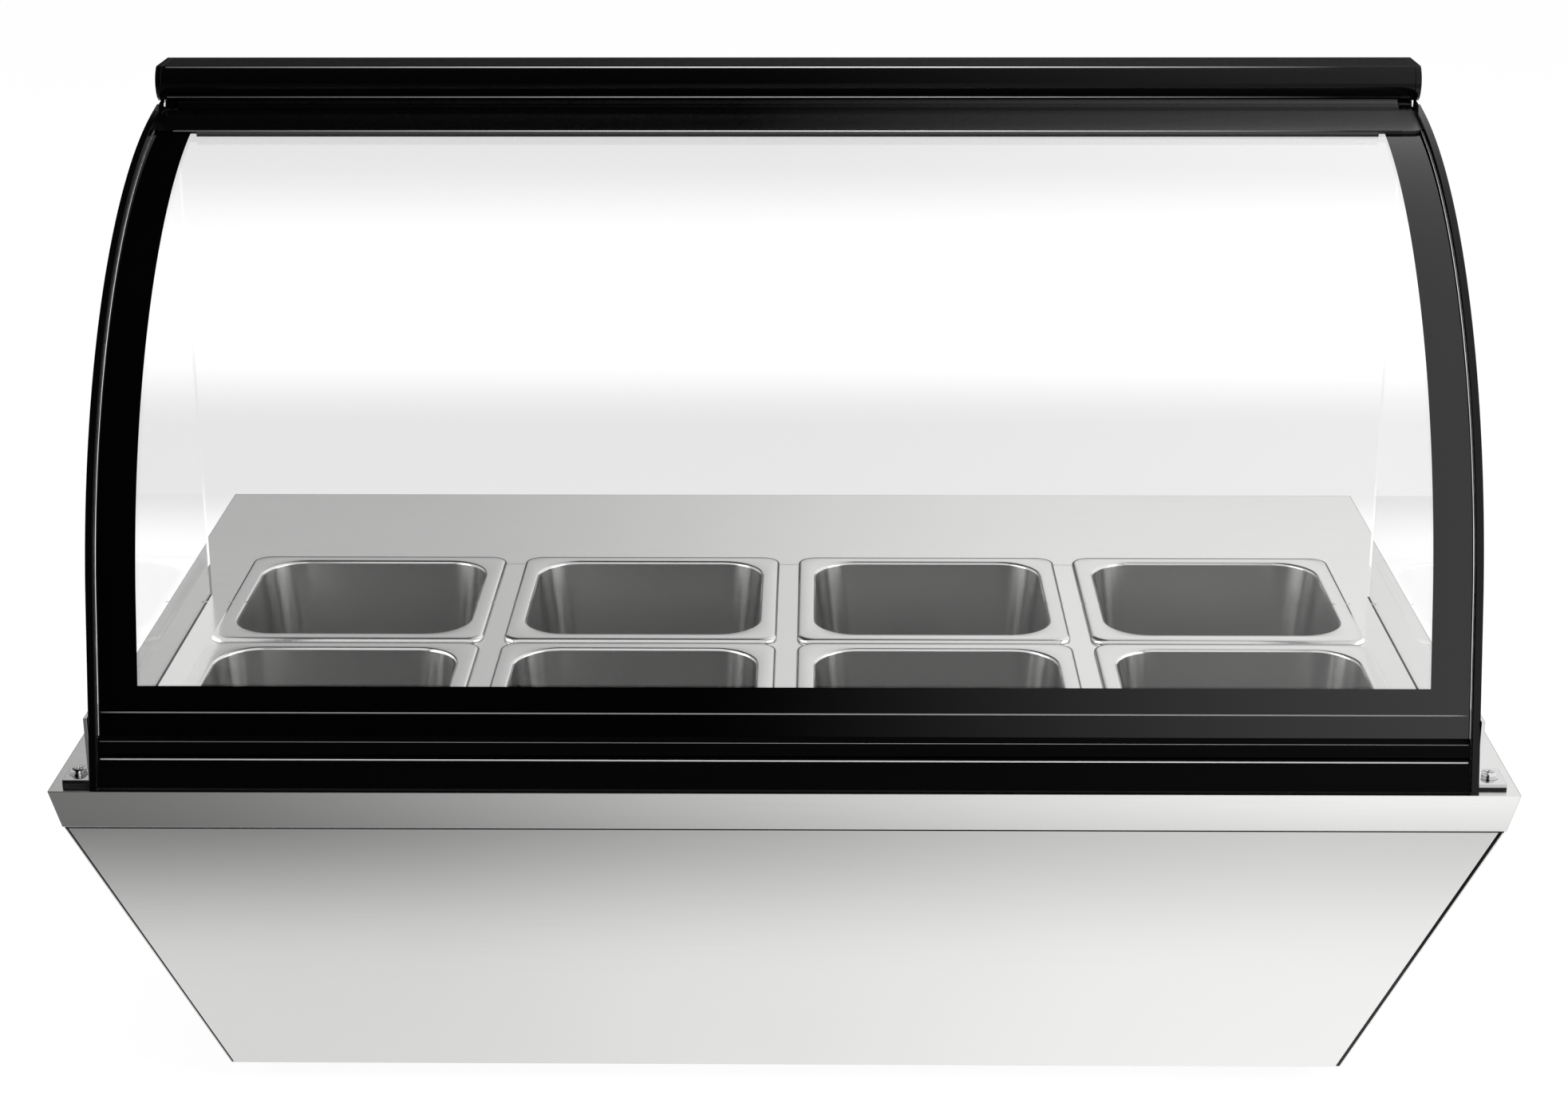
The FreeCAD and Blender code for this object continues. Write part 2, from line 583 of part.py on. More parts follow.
def press_louvres(body, middle):
    """One bank of louvres: hoods pressed outwards, each open along its lower edge."""
    lowest = "(places.hull_base + sizes.louvre_start)"
    reach = "(places.hull_rear + sizes.louvre_reach)"
    hood = new_sketch(body, "YZ_Plane", middle)
    draw_loop(hood, [("places.hull_rear - sizes.sheet / 2", lowest), (reach, lowest),
                     (reach, f"{lowest} + sizes.louvre_nose"),
                     ("places.hull_rear", f"{lowest} + sizes.louvre_height"),
                     ("places.hull_rear - sizes.sheet / 2", f"{lowest} + sizes.louvre_height")])
    hood_pad = pad(body, hood, "sizes.louvre_length", symmetric=True)
    mouth = new_sketch(body, "YZ_Plane", middle)
    within = "places.hull_rear - 2 * sizes.sheet"
    wall = "sizes.louvre_wall"
    crown = f"{lowest} + sizes.louvre_height - 1.6 * {wall}"
    draw_loop(mouth, [(within, f"{lowest} - 1"), (f"{reach} - {wall}", f"{lowest} - 1"),
                      (f"{reach} - {wall}", f"{lowest} + {wall}"),
                      ("places.hull_rear", crown), (within, crown)])
    mouth_cut = pocket(body, mouth, f"sizes.louvre_length - 2 * {wall}", symmetric=True)
    linear(body, [hood_pad, mouth_cut], "Z_Axis", "sizes.louvre_pitch", "sizes.louvre_count")


def build_base_tray():
    """The floor of the casing, with its edges folded up and a hole over each foot."""
    body = new_body("base_tray")
    sides = ("-(places.base_half - {0})", "places.base_half - {0}",
             "places.base_front + {0}", "places.hull_rear - {0}")
    floor = "places.hull_base + sizes.sheet"
    plate = draw_rectangle(new_sketch(body, "XY_Plane", floor),
                           *[side.format("sizes.tray_gap") for side in sides])
    pad(body, plate, "sizes.tray_sheet")
    fold = new_sketch(body, "XY_Plane", floor)
    draw_rectangle(fold, *[side.format("sizes.tray_gap") for side in sides])
    draw_rectangle(fold, *[side.format("(sizes.tray_gap + sizes.tray_sheet)")
                           for side in sides])
    pad(body, fold, "sizes.tray_flange")
    holes = new_sketch(body, "XY_Plane", "places.tray_floor")
    for side in (-1, 1):
        for place in ("places.foot_front", "places.foot_rear"):
            draw_polygon(holes, f"{side} * places.foot_x", place, "sizes.bolt / 2 + 0.3",
                         TUBE_FLATS)
    pocket(body, holes, "2 * sizes.tray_sheet")


def repeat_grid(body, across, along=None):
    """Repeats a whole piece as separate solids, across and, where given, along the cabinet."""
    body.AllowCompound = True
    feature = linear(body, [body.Tip], "X_Axis", across, "2")
    if along:
        feature.Direction2 = (origin_feature(body, "Y_Axis"), [""])
        feature.Mode2 = "Spacing"
        feature.setExpression("Offset2", along)
        feature.Occurrences2 = 2
    doc.recompute()


def mirrored(body, half_gap):
    """Repeats a one-sided piece as its mirror image about the plane x = 0 of the cabinet."""
    body.AllowCompound = True
    plane = body.newObject("PartDesign::Plane", f"{body.Name}_mirror")
    plane.AttachmentSupport = [(origin_feature(body, "YZ_Plane"), "")]
    plane.MapMode = "FlatFace"
    plane.setExpression("AttachmentOffset.Base.z", half_gap)
    feature, before = add_feature(body, "Mirrored", {"Originals": [body.Tip],
                                                     "MirrorPlane": (plane, [""])})
    settle(body, feature, before)


def build_feet():
    """Four round rubber feet, with the studs and nuts that hold them to the floor."""
    spot = ("-places.foot_x", "places.foot_front")
    grid = ("2 * places.foot_x", "places.foot_rear - places.foot_front")
    top = "sizes.foot_height + sizes.sheet"
    feet = new_body("rubber_feet", *spot, "-places.deck")
    plan = draw_polygon(new_sketch(feet, "XY_Plane"), "0", "0", "sizes.foot_radius",
                        ROUND_FLATS)
    pad(feet, plan, top)
    repeat_grid(feet, *grid)
    bolts = new_body("foot_bolts", *spot, "-places.deck")
    stud = draw_polygon(new_sketch(bolts, "XY_Plane", top), "0", "0", "sizes.bolt / 2",
                        TUBE_FLATS)
    pad(bolts, stud, "2 * sizes.tray_sheet")
    nut = draw_polygon(new_sketch(bolts, "XY_Plane", f"{top} + sizes.tray_sheet"), "0", "0",
                       "5 / 6 * sizes.bolt", 6)
    pad(bolts, nut, "5 / 6 * sizes.bolt")
    repeat_grid(bolts, *grid)


# ---------------------------------------------------------------------------
# Well, pans and insulation
# ---------------------------------------------------------------------------

def tapered_tub(body, box, top, drop, taper, corner, wall, flats):
    """A drawn tub, open at the top, that tapers by so much on every side."""
    left, right, front, rear = box
    outline = draw_flatted(new_sketch(body, "XY_Plane", top), left, right, front, rear,
                           corner, flats)
    pad(body, outline, drop, reverse=True)
    rim = f"Face{facing(body.Tip.Shape, 'top')}"
    feature, before = add_feature(body, "Draft", {
        "Base": (body.Tip, facing(body.Tip.Shape, "side")),
        "NeutralPlane": (body.Tip, [rim]), "Reversed": True})
    feature.setExpression("Angle", f"atan(({taper}) / ({drop}))")
    settle(body, feature, before)
    feature, before = add_feature(body, "Thickness", {
        "Base": (body.Tip, [f"Face{facing(body.Tip.Shape, 'top')}"]), "Reversed": True,
        "Mode": "Skin", "Join": "Intersection"})
    feature.setExpression("Value", wall)
    settle(body, feature, before)


def facing(shape, way):
    """The number of the highest level face, or the names of all faces that aren't level."""
    level = {number: face.CenterOfMass.z for number, face in enumerate(shape.Faces, start=1)
             if abs(face.normalAt(0, 0).z) > 0.9}
    if way == "top":
        return max(level, key=level.get)
    return [f"Face{number}" for number in range(1, len(shape.Faces) + 1)
            if number not in level]


def build_liner():
    """The pressed tub of the cold well, hung by a flange under the deck."""
    body = new_body("well_liner")
    tapered_tub(body, ("-places.liner_half", "places.liner_half", "places.liner_front",
                       "places.liner_rear"), "places.liner_top",
                "sizes.liner_drop + places.liner_top", "sizes.liner_taper",
                "sizes.liner_corner", "sizes.liner_sheet", LINER_FLATS)
    flange = new_sketch(body, "XY_Plane", "places.liner_top")
    inside = "sizes.liner_sheet / 2"
    draw_flatted(flange, f"-(places.liner_half - {inside})", f"places.liner_half - {inside}",
                 f"places.liner_front + {inside}", f"places.liner_rear - {inside}",
                 f"(sizes.liner_corner - {inside})", LINER_FLATS)
    outside = "sizes.liner_flange"
    draw_flatted(flange, f"-(places.liner_half + {outside})",
                 f"places.liner_half + {outside}", f"places.liner_front - {outside}",
                 f"places.liner_rear + {outside}", f"(sizes.liner_corner + {outside})",
                 LINER_FLATS)
    pad(body, flange, "sizes.liner_sheet", reverse=True)


def build_pan(name, column, line):
    """A sixth-size pan: tapered tub, flat flange and a lip turned down to rest on the deck."""
    body = new_body(name, f"({column}) * places.pitch",
                    f"sizes.row_front + sizes.pan_depth / 2 + {line} * places.row_pitch")
    half_x, half_y = "(sizes.pan_width / 2 - {0})", "(sizes.pan_depth / 2 - {0})"

    def ring(sketch, inset, radius, flats):
        draw_flatted(sketch, "-" + half_x.format(inset), half_x.format(inset),
                     "-" + half_y.format(inset), half_y.format(inset), radius, flats)

    mouth = "sizes.pan_flange"
    box = ("-" + half_x.format(mouth), half_x.format(mouth),
           "-" + half_y.format(mouth), half_y.format(mouth))
    tapered_tub(body, box, "sizes.pan_lip", "sizes.pan_drop + sizes.pan_lip",
                "sizes.pan_taper", "sizes.pan_corner", "sizes.pan_sheet", PAN_FLATS)
    flange = new_sketch(body, "XY_Plane", "sizes.pan_lip")
    ring(flange, "0", "sizes.flange_corner", RIM_FLATS)
    ring(flange, "(sizes.pan_flange + sizes.pan_sheet / 2)",
         "(sizes.pan_corner - sizes.pan_sheet / 2)", PAN_FLATS)
    pad(body, flange, "sizes.pan_sheet", reverse=True)
    lip = new_sketch(body, "XY_Plane")
    ring(lip, "0", "sizes.flange_corner", RIM_FLATS)
    ring(lip, "sizes.pan_sheet", "(sizes.flange_corner - sizes.pan_sheet)", RIM_FLATS)
    pad(body, lip, "sizes.pan_lip - sizes.pan_sheet / 2")


def build_divider(name, column):
    """A channel bar between two pan columns, with a tongue at each end in the lip's notch."""
    body = new_body(name, f"{column} * places.pitch")
    section = new_sketch(body, "XZ_Plane", "-(places.well_front + places.well_rear) / 2")
    half = "sizes.divider_width / 2"
    within = f"{half} - sizes.divider_sheet"
    draw_loop(section, [
        (f"-{half}", "-sizes.divider_depth"), (f"-({within})", "-sizes.divider_depth"),
        (f"-({within})", "-sizes.divider_sheet"), (within, "-sizes.divider_sheet"),
        (within, "-sizes.divider_depth"), (half, "-sizes.divider_depth"),
        (half, "0"), (f"-{half}", "0")])
    pad(body, section, "places.well_rear - places.well_front - 0.6", symmetric=True)
    for edge, outward in (("places.well_front", -1), ("places.well_rear", 1)):
        tongue = new_sketch(body, "XY_Plane", "-sizes.divider_sheet")
        near = f"{edge} + ({outward}) * (sizes.sheet + sizes.tongue_reach)"
        far = f"{edge} - ({outward}) * sizes.tongue_root"
        draw_rectangle(tongue, "-sizes.tongue_width / 2", "sizes.tongue_width / 2",
                       near if outward < 0 else far, far if outward < 0 else near)
        pad(body, tongue, "sizes.divider_sheet", reverse=True)


def build_insulation():
    """The foam block: it fills the casing round the cold well, clear of every folded edge."""
    body = new_body("foam_insulation")
    gap = "sizes.foam_gap"
    step = "(places.tray_floor + sizes.tray_flange)"
    levels = [f"places.tray_floor + {gap}", step, step, "places.hull_top - 4",
              "places.hull_top - 4", "places.foam_top"]
    tray = f"(sizes.tray_gap + sizes.tray_sheet + {gap})"
    skin = f"(({step} - places.hull_base) * tan(sizes.hull_lean) - places.hull_run - {gap})"
    rise = f"((sizes.hull_height - 4) * tan(sizes.hull_lean) - places.hull_run - {gap})"
    fold = "(places.hull_draw - sizes.return_width - 2)"
    outs = [f"-{tray}", f"-{tray}", skin, rise, fold, fold]
    # its neck is no wider than the folds of the casing, nor than the bracket screws allow
    screws = "(places.screw_x - places.base_half - sizes.screw_thread / 2 - 2)"
    neck = f"min({fold}; {screws})"
    right = [(f"places.base_half + {out}", level)
             for out, level in zip([*outs[:4], neck, neck], levels)]
    left = [(f"-({across})", level) for across, level in reversed(right)]
    rear = "(sizes.wall_place - sizes.foam_gap)"
    front_most = "places.hull_front"
    block = draw_loop(new_sketch(body, "XZ_Plane", f"-{rear}"), right + left)
    pad(body, block, f"{rear} - {front_most}")
    slope = [(f"places.base_front - {out}", level) for out, level in zip(outs, levels)]
    front = draw_loop(new_sketch(body, "YZ_Plane"), [
        ("-10", "places.foam_top"), ("-10", f"places.tray_floor + {gap}"), *slope])
    pocket(body, front, "2 * sizes.counter_width", symmetric=True)
    # the pocket for the tub, with room under its floor for the evaporator
    cavity = draw_rectangle(
        new_sketch(body, "XY_Plane", "places.foam_top"), f"-(places.liner_half + {gap})",
        f"places.liner_half + {gap}", f"places.liner_front - {gap}",
        f"places.liner_rear + {gap}")
    pocket(body, cavity, "places.foam_top - places.coil_level + sizes.coil_tube / 2 + 3",
           taper="-4")
    nuts = new_sketch(body, "XY_Plane", f"places.tray_floor + {gap}")
    for side in (-1, 1):
        draw_polygon(nuts, f"{side} * places.foot_x", "places.foot_front",
                     "sizes.bolt + 1", TUBE_FLATS)
    pocket(body, nuts, "2 * sizes.bolt", reverse=True)
    ducts = new_sketch(body, "XZ_Plane", "-places.liner_rear + sizes.liner_taper + 5")
    for side in (-1, 1):
        draw_polygon(ducts, f"{side} * places.coil_end", "places.coil_level",
                     "sizes.coil_tube / 2 + 1", TUBE_FLATS)
    pocket(body, ducts, "sizes.wall_place - places.liner_rear + sizes.liner_taper + 10")


def build_compartment_wall():
    """The sheet that closes the back of the foam, with two holes for the tubes."""
    body = new_body("compartment_wall")
    plate = new_sketch(body, "XZ_Plane", "-sizes.wall_place")
    inside = "(sizes.return_width + 2)"
    draw_loop(plate, [
        (f"-(places.base_half - {inside})", "places.tray_floor"),
        (f"places.base_half - {inside}", "places.tray_floor"),
        (f"places.hull_half - {inside}", "places.hull_top - 2"),
        (f"places.hull_half - {inside}", "places.foam_top"),
        (f"-(places.hull_half - {inside})", "places.foam_top"),
        (f"-(places.hull_half - {inside})", "places.hull_top - 2")])
    for side in (-1, 1):
        draw_polygon(plate, f"{side} * places.coil_end", "places.coil_level",
                     "sizes.coil_tube / 2 + 1", TUBE_FLATS)
    pad(body, plate, "sizes.wall_sheet", reverse=True)


# ---------------------------------------------------------------------------
# Curved glass, clamp strip and hinge
# ---------------------------------------------------------------------------

def on_straight(level, depth):
    """A point of the pane's straight foot at a level, so far in from its outer face."""
    return (f"sizes.pane_foot + ({level}) / tan(sizes.pane_lean)"
            f" + ({depth}) / sin(sizes.pane_lean)", level)


def on_bend(angle, depth):
    """A point of the bend, at an angle from the vertical, so far in from its outer face."""
    radius = f"(sizes.pane_radius - ({depth}))"
    return (f"places.curve_y - {radius} * sin({angle})",
            f"places.curve_z + {radius} * cos({angle})")


def on_tail(run, depth):
    """A point past the bend, so far along the slope and in from the outer face."""
    return (f"places.crest_y + ({run}) * cos(sizes.pane_slope)"
            f" + ({depth}) * sin(sizes.pane_slope)",
            f"places.crest_z + ({run}) * sin(sizes.pane_slope)"
            f" - ({depth}) * cos(sizes.pane_slope)")


def bent_plate(body, level, end, outside, inside, length, level_x="0"):
    """A plate that follows the pane's curve between two depths, padded sideways."""
    top = "(90 - sizes.pane_lean)"
    corners = [on_straight(level, outside), on_bend(f"90 - {top}", outside),
               on_bend("sizes.pane_slope", outside), on_tail(end, outside),
               on_tail(end, inside), on_bend("sizes.pane_slope", inside),
               on_bend(f"90 - {top}", inside), on_straight(level, inside)]
    section = draw_loop(new_sketch(body, "YZ_Plane", level_x), corners,
                        {1: (f"(sizes.pane_radius - ({outside}))", 1),
                         5: (f"(sizes.pane_radius - ({inside}))", -1)})
    pad(body, section, length, symmetric=True)


def build_front_pane():
    """The bent pane of the front glass."""
    body = new_body("front_pane")
    bent_plate(body, "sizes.pane_lift", "sizes.pane_tail", "0", "sizes.pane_thick",
               "2 * places.pane_half")


def build_clamp_strip():
    """The extruded strip along the pane's top edge: grip, shoulder, neck and hinge bead."""
    body = new_body("clamp_strip")
    metal, start = "sizes.strip_sheet", "(sizes.pane_tail + 0.3)"
    low = "sizes.pane_thick"
    neck = "(sizes.neck_thick / 2)"
    chord = f"sqrt(sizes.bead_radius^2 - {neck}^2)"
    edge, grip = "(sizes.pane_slope + sizes.strip_turn)", "(sizes.pane_slope + sizes.grip_turn)"
    corners = [
        on_bend(edge, f"-{metal}"), on_bend("sizes.pane_slope", f"-{metal}"),
        on_tail(start, f"-{metal}"), on_tail(start, f"-places.hinge_rise - {neck}"),
        on_tail(f"places.hinge_run - {chord}", f"-places.hinge_rise - {neck}"),
        on_tail(f"places.hinge_run - {chord}", f"-places.hinge_rise + {neck}"),
        on_tail(f"{start} + {metal}", f"-places.hinge_rise + {neck}"),
        on_tail(f"{start} + {metal}", f"{low} + {metal}"),
        on_tail("0", f"{low} + {metal}"), on_bend(grip, f"{low} + {metal}"),
        on_bend(grip, low), on_tail("0", low), on_tail(start, low), on_tail(start, "0"),
        on_tail("0", "0"), on_bend(edge, "0")]
    bends = {0: (f"(sizes.pane_radius + {metal})", 1), 4: ("sizes.bead_radius", 1, True),
             8: (f"(sizes.pane_radius - {low} - {metal})", -1),
             10: (f"(sizes.pane_radius - {low})", 1), 14: ("sizes.pane_radius", -1)}
    section = draw_loop(new_sketch(body, "YZ_Plane"), corners, bends)
    pad(body, section, "2 * sizes.strip_half", symmetric=True)
    corner_y = value(on_bend(edge, f"-{metal} / 2")[0])
    round_edges(body, "sizes.strip_corner",
                lambda touched: abs(touched.CenterOfMass.y - corner_y) < 0.5
                and not spans(touched, "x", 1))


def build_strip_gasket():
    """The rubber bead that shows along the front edge of the clamp strip."""
    body = new_body("strip_gasket")
    near, far = "(sizes.pane_slope + sizes.strip_turn)", "(places.gasket_end)"
    corners = [on_bend(far, "-sizes.gasket_thick"), on_bend(near, "-sizes.gasket_thick"),
               on_bend(near, "0"), on_bend(far, "0")]
    section = draw_loop(new_sketch(body, "YZ_Plane"), corners,
                        {0: ("(sizes.pane_radius + sizes.gasket_thick)", 1),
                         2: ("sizes.pane_radius", -1)})
    pad(body, section, "2 * (sizes.strip_half - 18)", symmetric=True)


def build_bottom_profile():
    """The extrusion that grips the pane's lower edge, with a groove along its front."""
    body = new_body("bottom_profile")
    nose, rear = "-sizes.shoe_nose", "(sizes.pane_thick + 1.5)"
    groove = "sizes.shoe_groove"
    section = draw_loop(new_sketch(body, "YZ_Plane"), [
        on_straight("sizes.shoe_lift", nose), on_straight(f"{groove} - 0.8", nose),
        on_straight(groove, f"{nose} + 1.2"), on_straight(f"{groove} + 0.8", nose),
        on_straight("sizes.shoe_height - 2", nose), on_straight("sizes.shoe_height", "-1"),
        on_straight("sizes.shoe_height", "0"), on_straight("sizes.pane_lift", "0"),
        on_straight("sizes.pane_lift", "sizes.pane_thick"),
        on_straight(groove, "sizes.pane_thick"), on_straight(groove, rear),
        on_straight("sizes.shoe_lift", rear)])
    pad(body, section, "2 * places.pane_half", symmetric=True)


def build_sill_gasket():
    """The rubber strip on the deck that the bottom profile closes over."""
    body = new_body("sill_gasket")
    plan = draw_rectangle(new_sketch(body, "XY_Plane"), "-places.pane_half",
                          "places.pane_half", "sizes.pane_foot - 2", "sizes.pane_foot + 8")
    pad(body, plan, "sizes.shoe_lift - 0.4")


def build_side_glass(name, side):
    """A flat side glass: its edge runs a little proud of the pane, up to the top bar."""
    body = new_body(name)
    proud = "-(sizes.trim_proud - sizes.trim_wall)"
    sheet_x = f"{side} * (sizes.glass_half - sizes.trim_wall - sizes.side_glass / 2)"
    run = ("(places.bar_under - places.crest_z - sizes.trim_proud * cos(sizes.pane_slope)"
           " + sizes.trim_wall * cos(sizes.pane_slope)) / sin(sizes.pane_slope)")
    outline = draw_loop(new_sketch(body, "YZ_Plane", sheet_x), [
        on_straight("0", proud), on_bend("sizes.pane_lean", proud),
        on_bend("sizes.pane_slope", proud), on_tail(run, proud),
        ("places.bar_rear", "places.bar_under"), ("places.bar_rear", "0")],
        {1: (f"(sizes.pane_radius - {proud})", 1)})
    pad(body, outline, "sizes.side_glass", symmetric=True)


def build_side_trim(name, side):
    """The channel pushed over a side glass's edge: a web and two lips."""
    body = new_body(name)
    middle = f"{side} * (sizes.glass_half - places.trim_width / 2)"
    end, proud = "places.trim_end", "-sizes.trim_proud"
    bent_plate(body, "0", end, proud, "sizes.trim_grip - sizes.trim_proud",
               "places.trim_width", middle)
    profile = [on_straight("0", f"{proud} + sizes.trim_wall"),
               on_bend("sizes.pane_lean", f"{proud} + sizes.trim_wall"),
               on_bend("sizes.pane_slope", f"{proud} + sizes.trim_wall"),
               on_tail(f"{end} + 1", f"{proud} + sizes.trim_wall"),
               on_tail(f"{end} + 1", "sizes.trim_grip"),
               on_bend("sizes.pane_slope", "sizes.trim_grip"),
               on_bend("sizes.pane_lean", "sizes.trim_grip"),
               on_straight("0", "sizes.trim_grip")]
    slot = draw_loop(new_sketch(body, "YZ_Plane", middle), profile,
                     {1: (f"(sizes.pane_radius - ({proud} + sizes.trim_wall))", 1),
                      5: ("(sizes.pane_radius - sizes.trim_grip)", -1)})
    pocket(body, slot, "sizes.side_glass", symmetric=True)


def at_hinge(radius, angle):
    """A point round the hinge axis, its angle counted from the rear upwards."""
    return (f"places.hinge_y + ({radius}) * cos({angle})",
            f"places.hinge_z + ({radius}) * sin({angle})")


def nose_outline(closed_claw):
    """The top bar's outline, with the open hinge claw or with its end closed off."""
    outer = "(sizes.bead_radius + sizes.bead_fit + sizes.claw_wall)"
    inner = "(sizes.bead_radius + sizes.bead_fit)"
    flat = f"asin((places.bar_under - places.hinge_z) / {outer})"
    body_side = [("places.bar_rear", "places.bar_under"), ("places.bar_rear", "sizes.bar_top"),
                 ("places.hinge_y + 1.2", "sizes.bar_top"), at_hinge(outer, "sizes.mouth_top")]
    if closed_claw:
        corners = [("places.hinge_y + 1", "places.bar_under")] + body_side[:-1]
        corners.append(("places.hinge_y - 2", "places.bar_under + 2"))
        return corners, {3: ("sizes.bar_nose", -1)}
    corners = [at_hinge(inner, "sizes.mouth_top"), at_hinge(inner, "sizes.mouth_low"),
               at_hinge(outer, "sizes.mouth_low"), at_hinge(outer, flat), *body_side]
    return corners, {0: (inner, 1, True), 2: (outer, -1), 6: ("sizes.bar_nose", -1)}


def build_top_bar():
    """The hollow extrusion along the top, with the hinge claw in one piece with it."""
    body = new_body("top_bar")
    section = new_sketch(body, "YZ_Plane")
    draw_loop(section, *nose_outline(False))
    wall = "sizes.bar_wall"
    low, lift = f"places.bar_under + {wall}", "places.hinge_z + 7.4"
    draw_loop(section, [
        ("places.hinge_y + 6.9", low), (f"places.bar_rear - {wall}", low),
        (f"places.bar_rear - {wall}", f"sizes.bar_top - {wall}"),
        ("places.hinge_y + 1.6", f"sizes.bar_top - {wall}"),
        ("places.hinge_y - 1.2", lift), ("places.hinge_y + 6.9", lift)],
        {3: (f"(sizes.bar_nose - {wall})", -1)})
    pad(body, section, "2 * places.clip_face", symmetric=True)


def build_end_cap(name, side):
    """The moulded cap that closes one end of the top bar."""
    body = new_body(name)
    middle = f"{side} * (sizes.glass_half + places.clip_face) / 2"
    section = new_sketch(body, "YZ_Plane", middle)
    draw_loop(section, *nose_outline(True))
    pad(body, section, "sizes.glass_half - places.clip_face", symmetric=True)


def build_bar_clips():
    """Two angle clips that carry the top bar on the side glasses."""
    body = new_body("bar_clips", "-places.clip_face")
    section = new_sketch(body, "XZ_Plane", "-(places.hinge_y + sizes.clip_offset)")
    top, leg, metal = "places.bar_under", "sizes.clip_leg", "sizes.clip_sheet"
    draw_loop(section, [("0", top), ("0", f"{top} - {leg}"), (metal, f"{top} - {leg}"),
                        (metal, f"{top} - {metal}"), ("sizes.clip_arm", f"{top} - {metal}"),
                        ("sizes.clip_arm", top)])
    pad(body, section, leg, reverse=True)
    mirrored(body, "places.clip_face")


def build_brackets():
    """Steel angles that hold the side glasses to the deck, on rubber pads."""
    for name, side in (("foot_bracket_left", -1), ("foot_bracket_right", 1)):
        body = new_body(name)
        section = new_sketch(body, "XZ_Plane", "-sizes.bracket_place")
        face, metal = "sizes.glass_half", "sizes.bracket_sheet"
        points = [(face, "sizes.pad_thick"),
                  (f"{face} + sizes.bracket_foot", "sizes.pad_thick"),
                  (f"{face} + sizes.bracket_foot", f"sizes.pad_thick + {metal}"),
                  (f"{face} + {metal}", f"sizes.pad_thick + {metal}"),
                  (f"{face} + {metal}", "sizes.bracket_height"),
                  (face, "sizes.bracket_height")]
        draw_loop(section, [(f"{side} * ({across})", level) for across, level in points])
        pad(body, section, "sizes.bracket_depth", reverse=True)
        hole = new_sketch(body, "XY_Plane", f"sizes.pad_thick + 2 * {metal}")
        draw_polygon(hole, f"{side} * places.screw_x", "places.screw_y",
                     "sizes.screw_thread / 2 + 0.25", SMALL_FLATS)
        pocket(body, hole, f"3 * {metal}")
    pads = new_body("bracket_pads", "-places.screw_x", "places.screw_y")
    plan = new_sketch(pads, "XY_Plane")
    draw_rectangle(plan, "places.screw_x - sizes.glass_half - sizes.bracket_foot",
                   "places.screw_x - sizes.glass_half", "-sizes.bracket_depth / 2",
                   "sizes.bracket_depth / 2")
    draw_polygon(plan, "0", "0", "sizes.screw_thread / 2 + 0.25", SMALL_FLATS)
    pad(pads, plan, "sizes.pad_thick")
    mirrored(pads, "places.screw_x")
    seat = "(sizes.pad_thick + sizes.bracket_sheet)"
    screws = new_body("bracket_screws", "-places.screw_x", "places.screw_y")
    stack_rounds(screws, "XY_Plane", [
        ("sizes.screw_thread / 2", "-sizes.screw_reach", f"sizes.screw_reach + {seat} + 0.4")],
        SMALL_FLATS)
    stack_rounds(screws, "XY_Plane", [
        ("sizes.washer / 2", seat, "sizes.washer_thick"),
        ("sizes.screw_head / 2", f"{seat} + sizes.washer_thick / 2",
         "sizes.screw_rise + sizes.washer_thick / 2")])
    repeat_grid(screws, "2 * places.screw_x")


# ---------------------------------------------------------------------------
# Refrigeration unit
# ---------------------------------------------------------------------------

def lay_tube(name, route, radius, bend):
    """A tube along a route in space, each corner taken in two turns, in the deck frame."""
    corners = [Vector(*(value(text) for text in spot)) for spot in route]
    cut = value(bend)
    points = [corners[0]]
    for before, corner, after in zip(corners, corners[1:], corners[2:]):
        points.append(corner + (before - corner).normalize() * cut)
        points.append(corner + (after - corner).normalize() * cut)
    points.append(corners[-1])
    heading = (corners[1] - corners[0]).normalize()
    rim = Part.Circle(corners[0], heading, value(radius)).toShape()
    ring = Part.makePolygon(rim.discretize(TUBE_FLATS + 1))
    tube = doc.addObject("Part::Feature", name)
    tube.Label = name
    tube.Shape = Part.makePolygon(points).makePipeShell([ring], True, True, 1)
    place_body(tube)
    nodes.append(tube)
    return tube


def stack_rounds(body, plane, rounds, sides=ROUND_FLATS):
    """Round pieces on one axis, each given as (radius, start, length)."""
    for radius, start, length in rounds:
        pad(body, draw_polygon(new_sketch(body, plane, start), "0", "0", radius, sides), length)


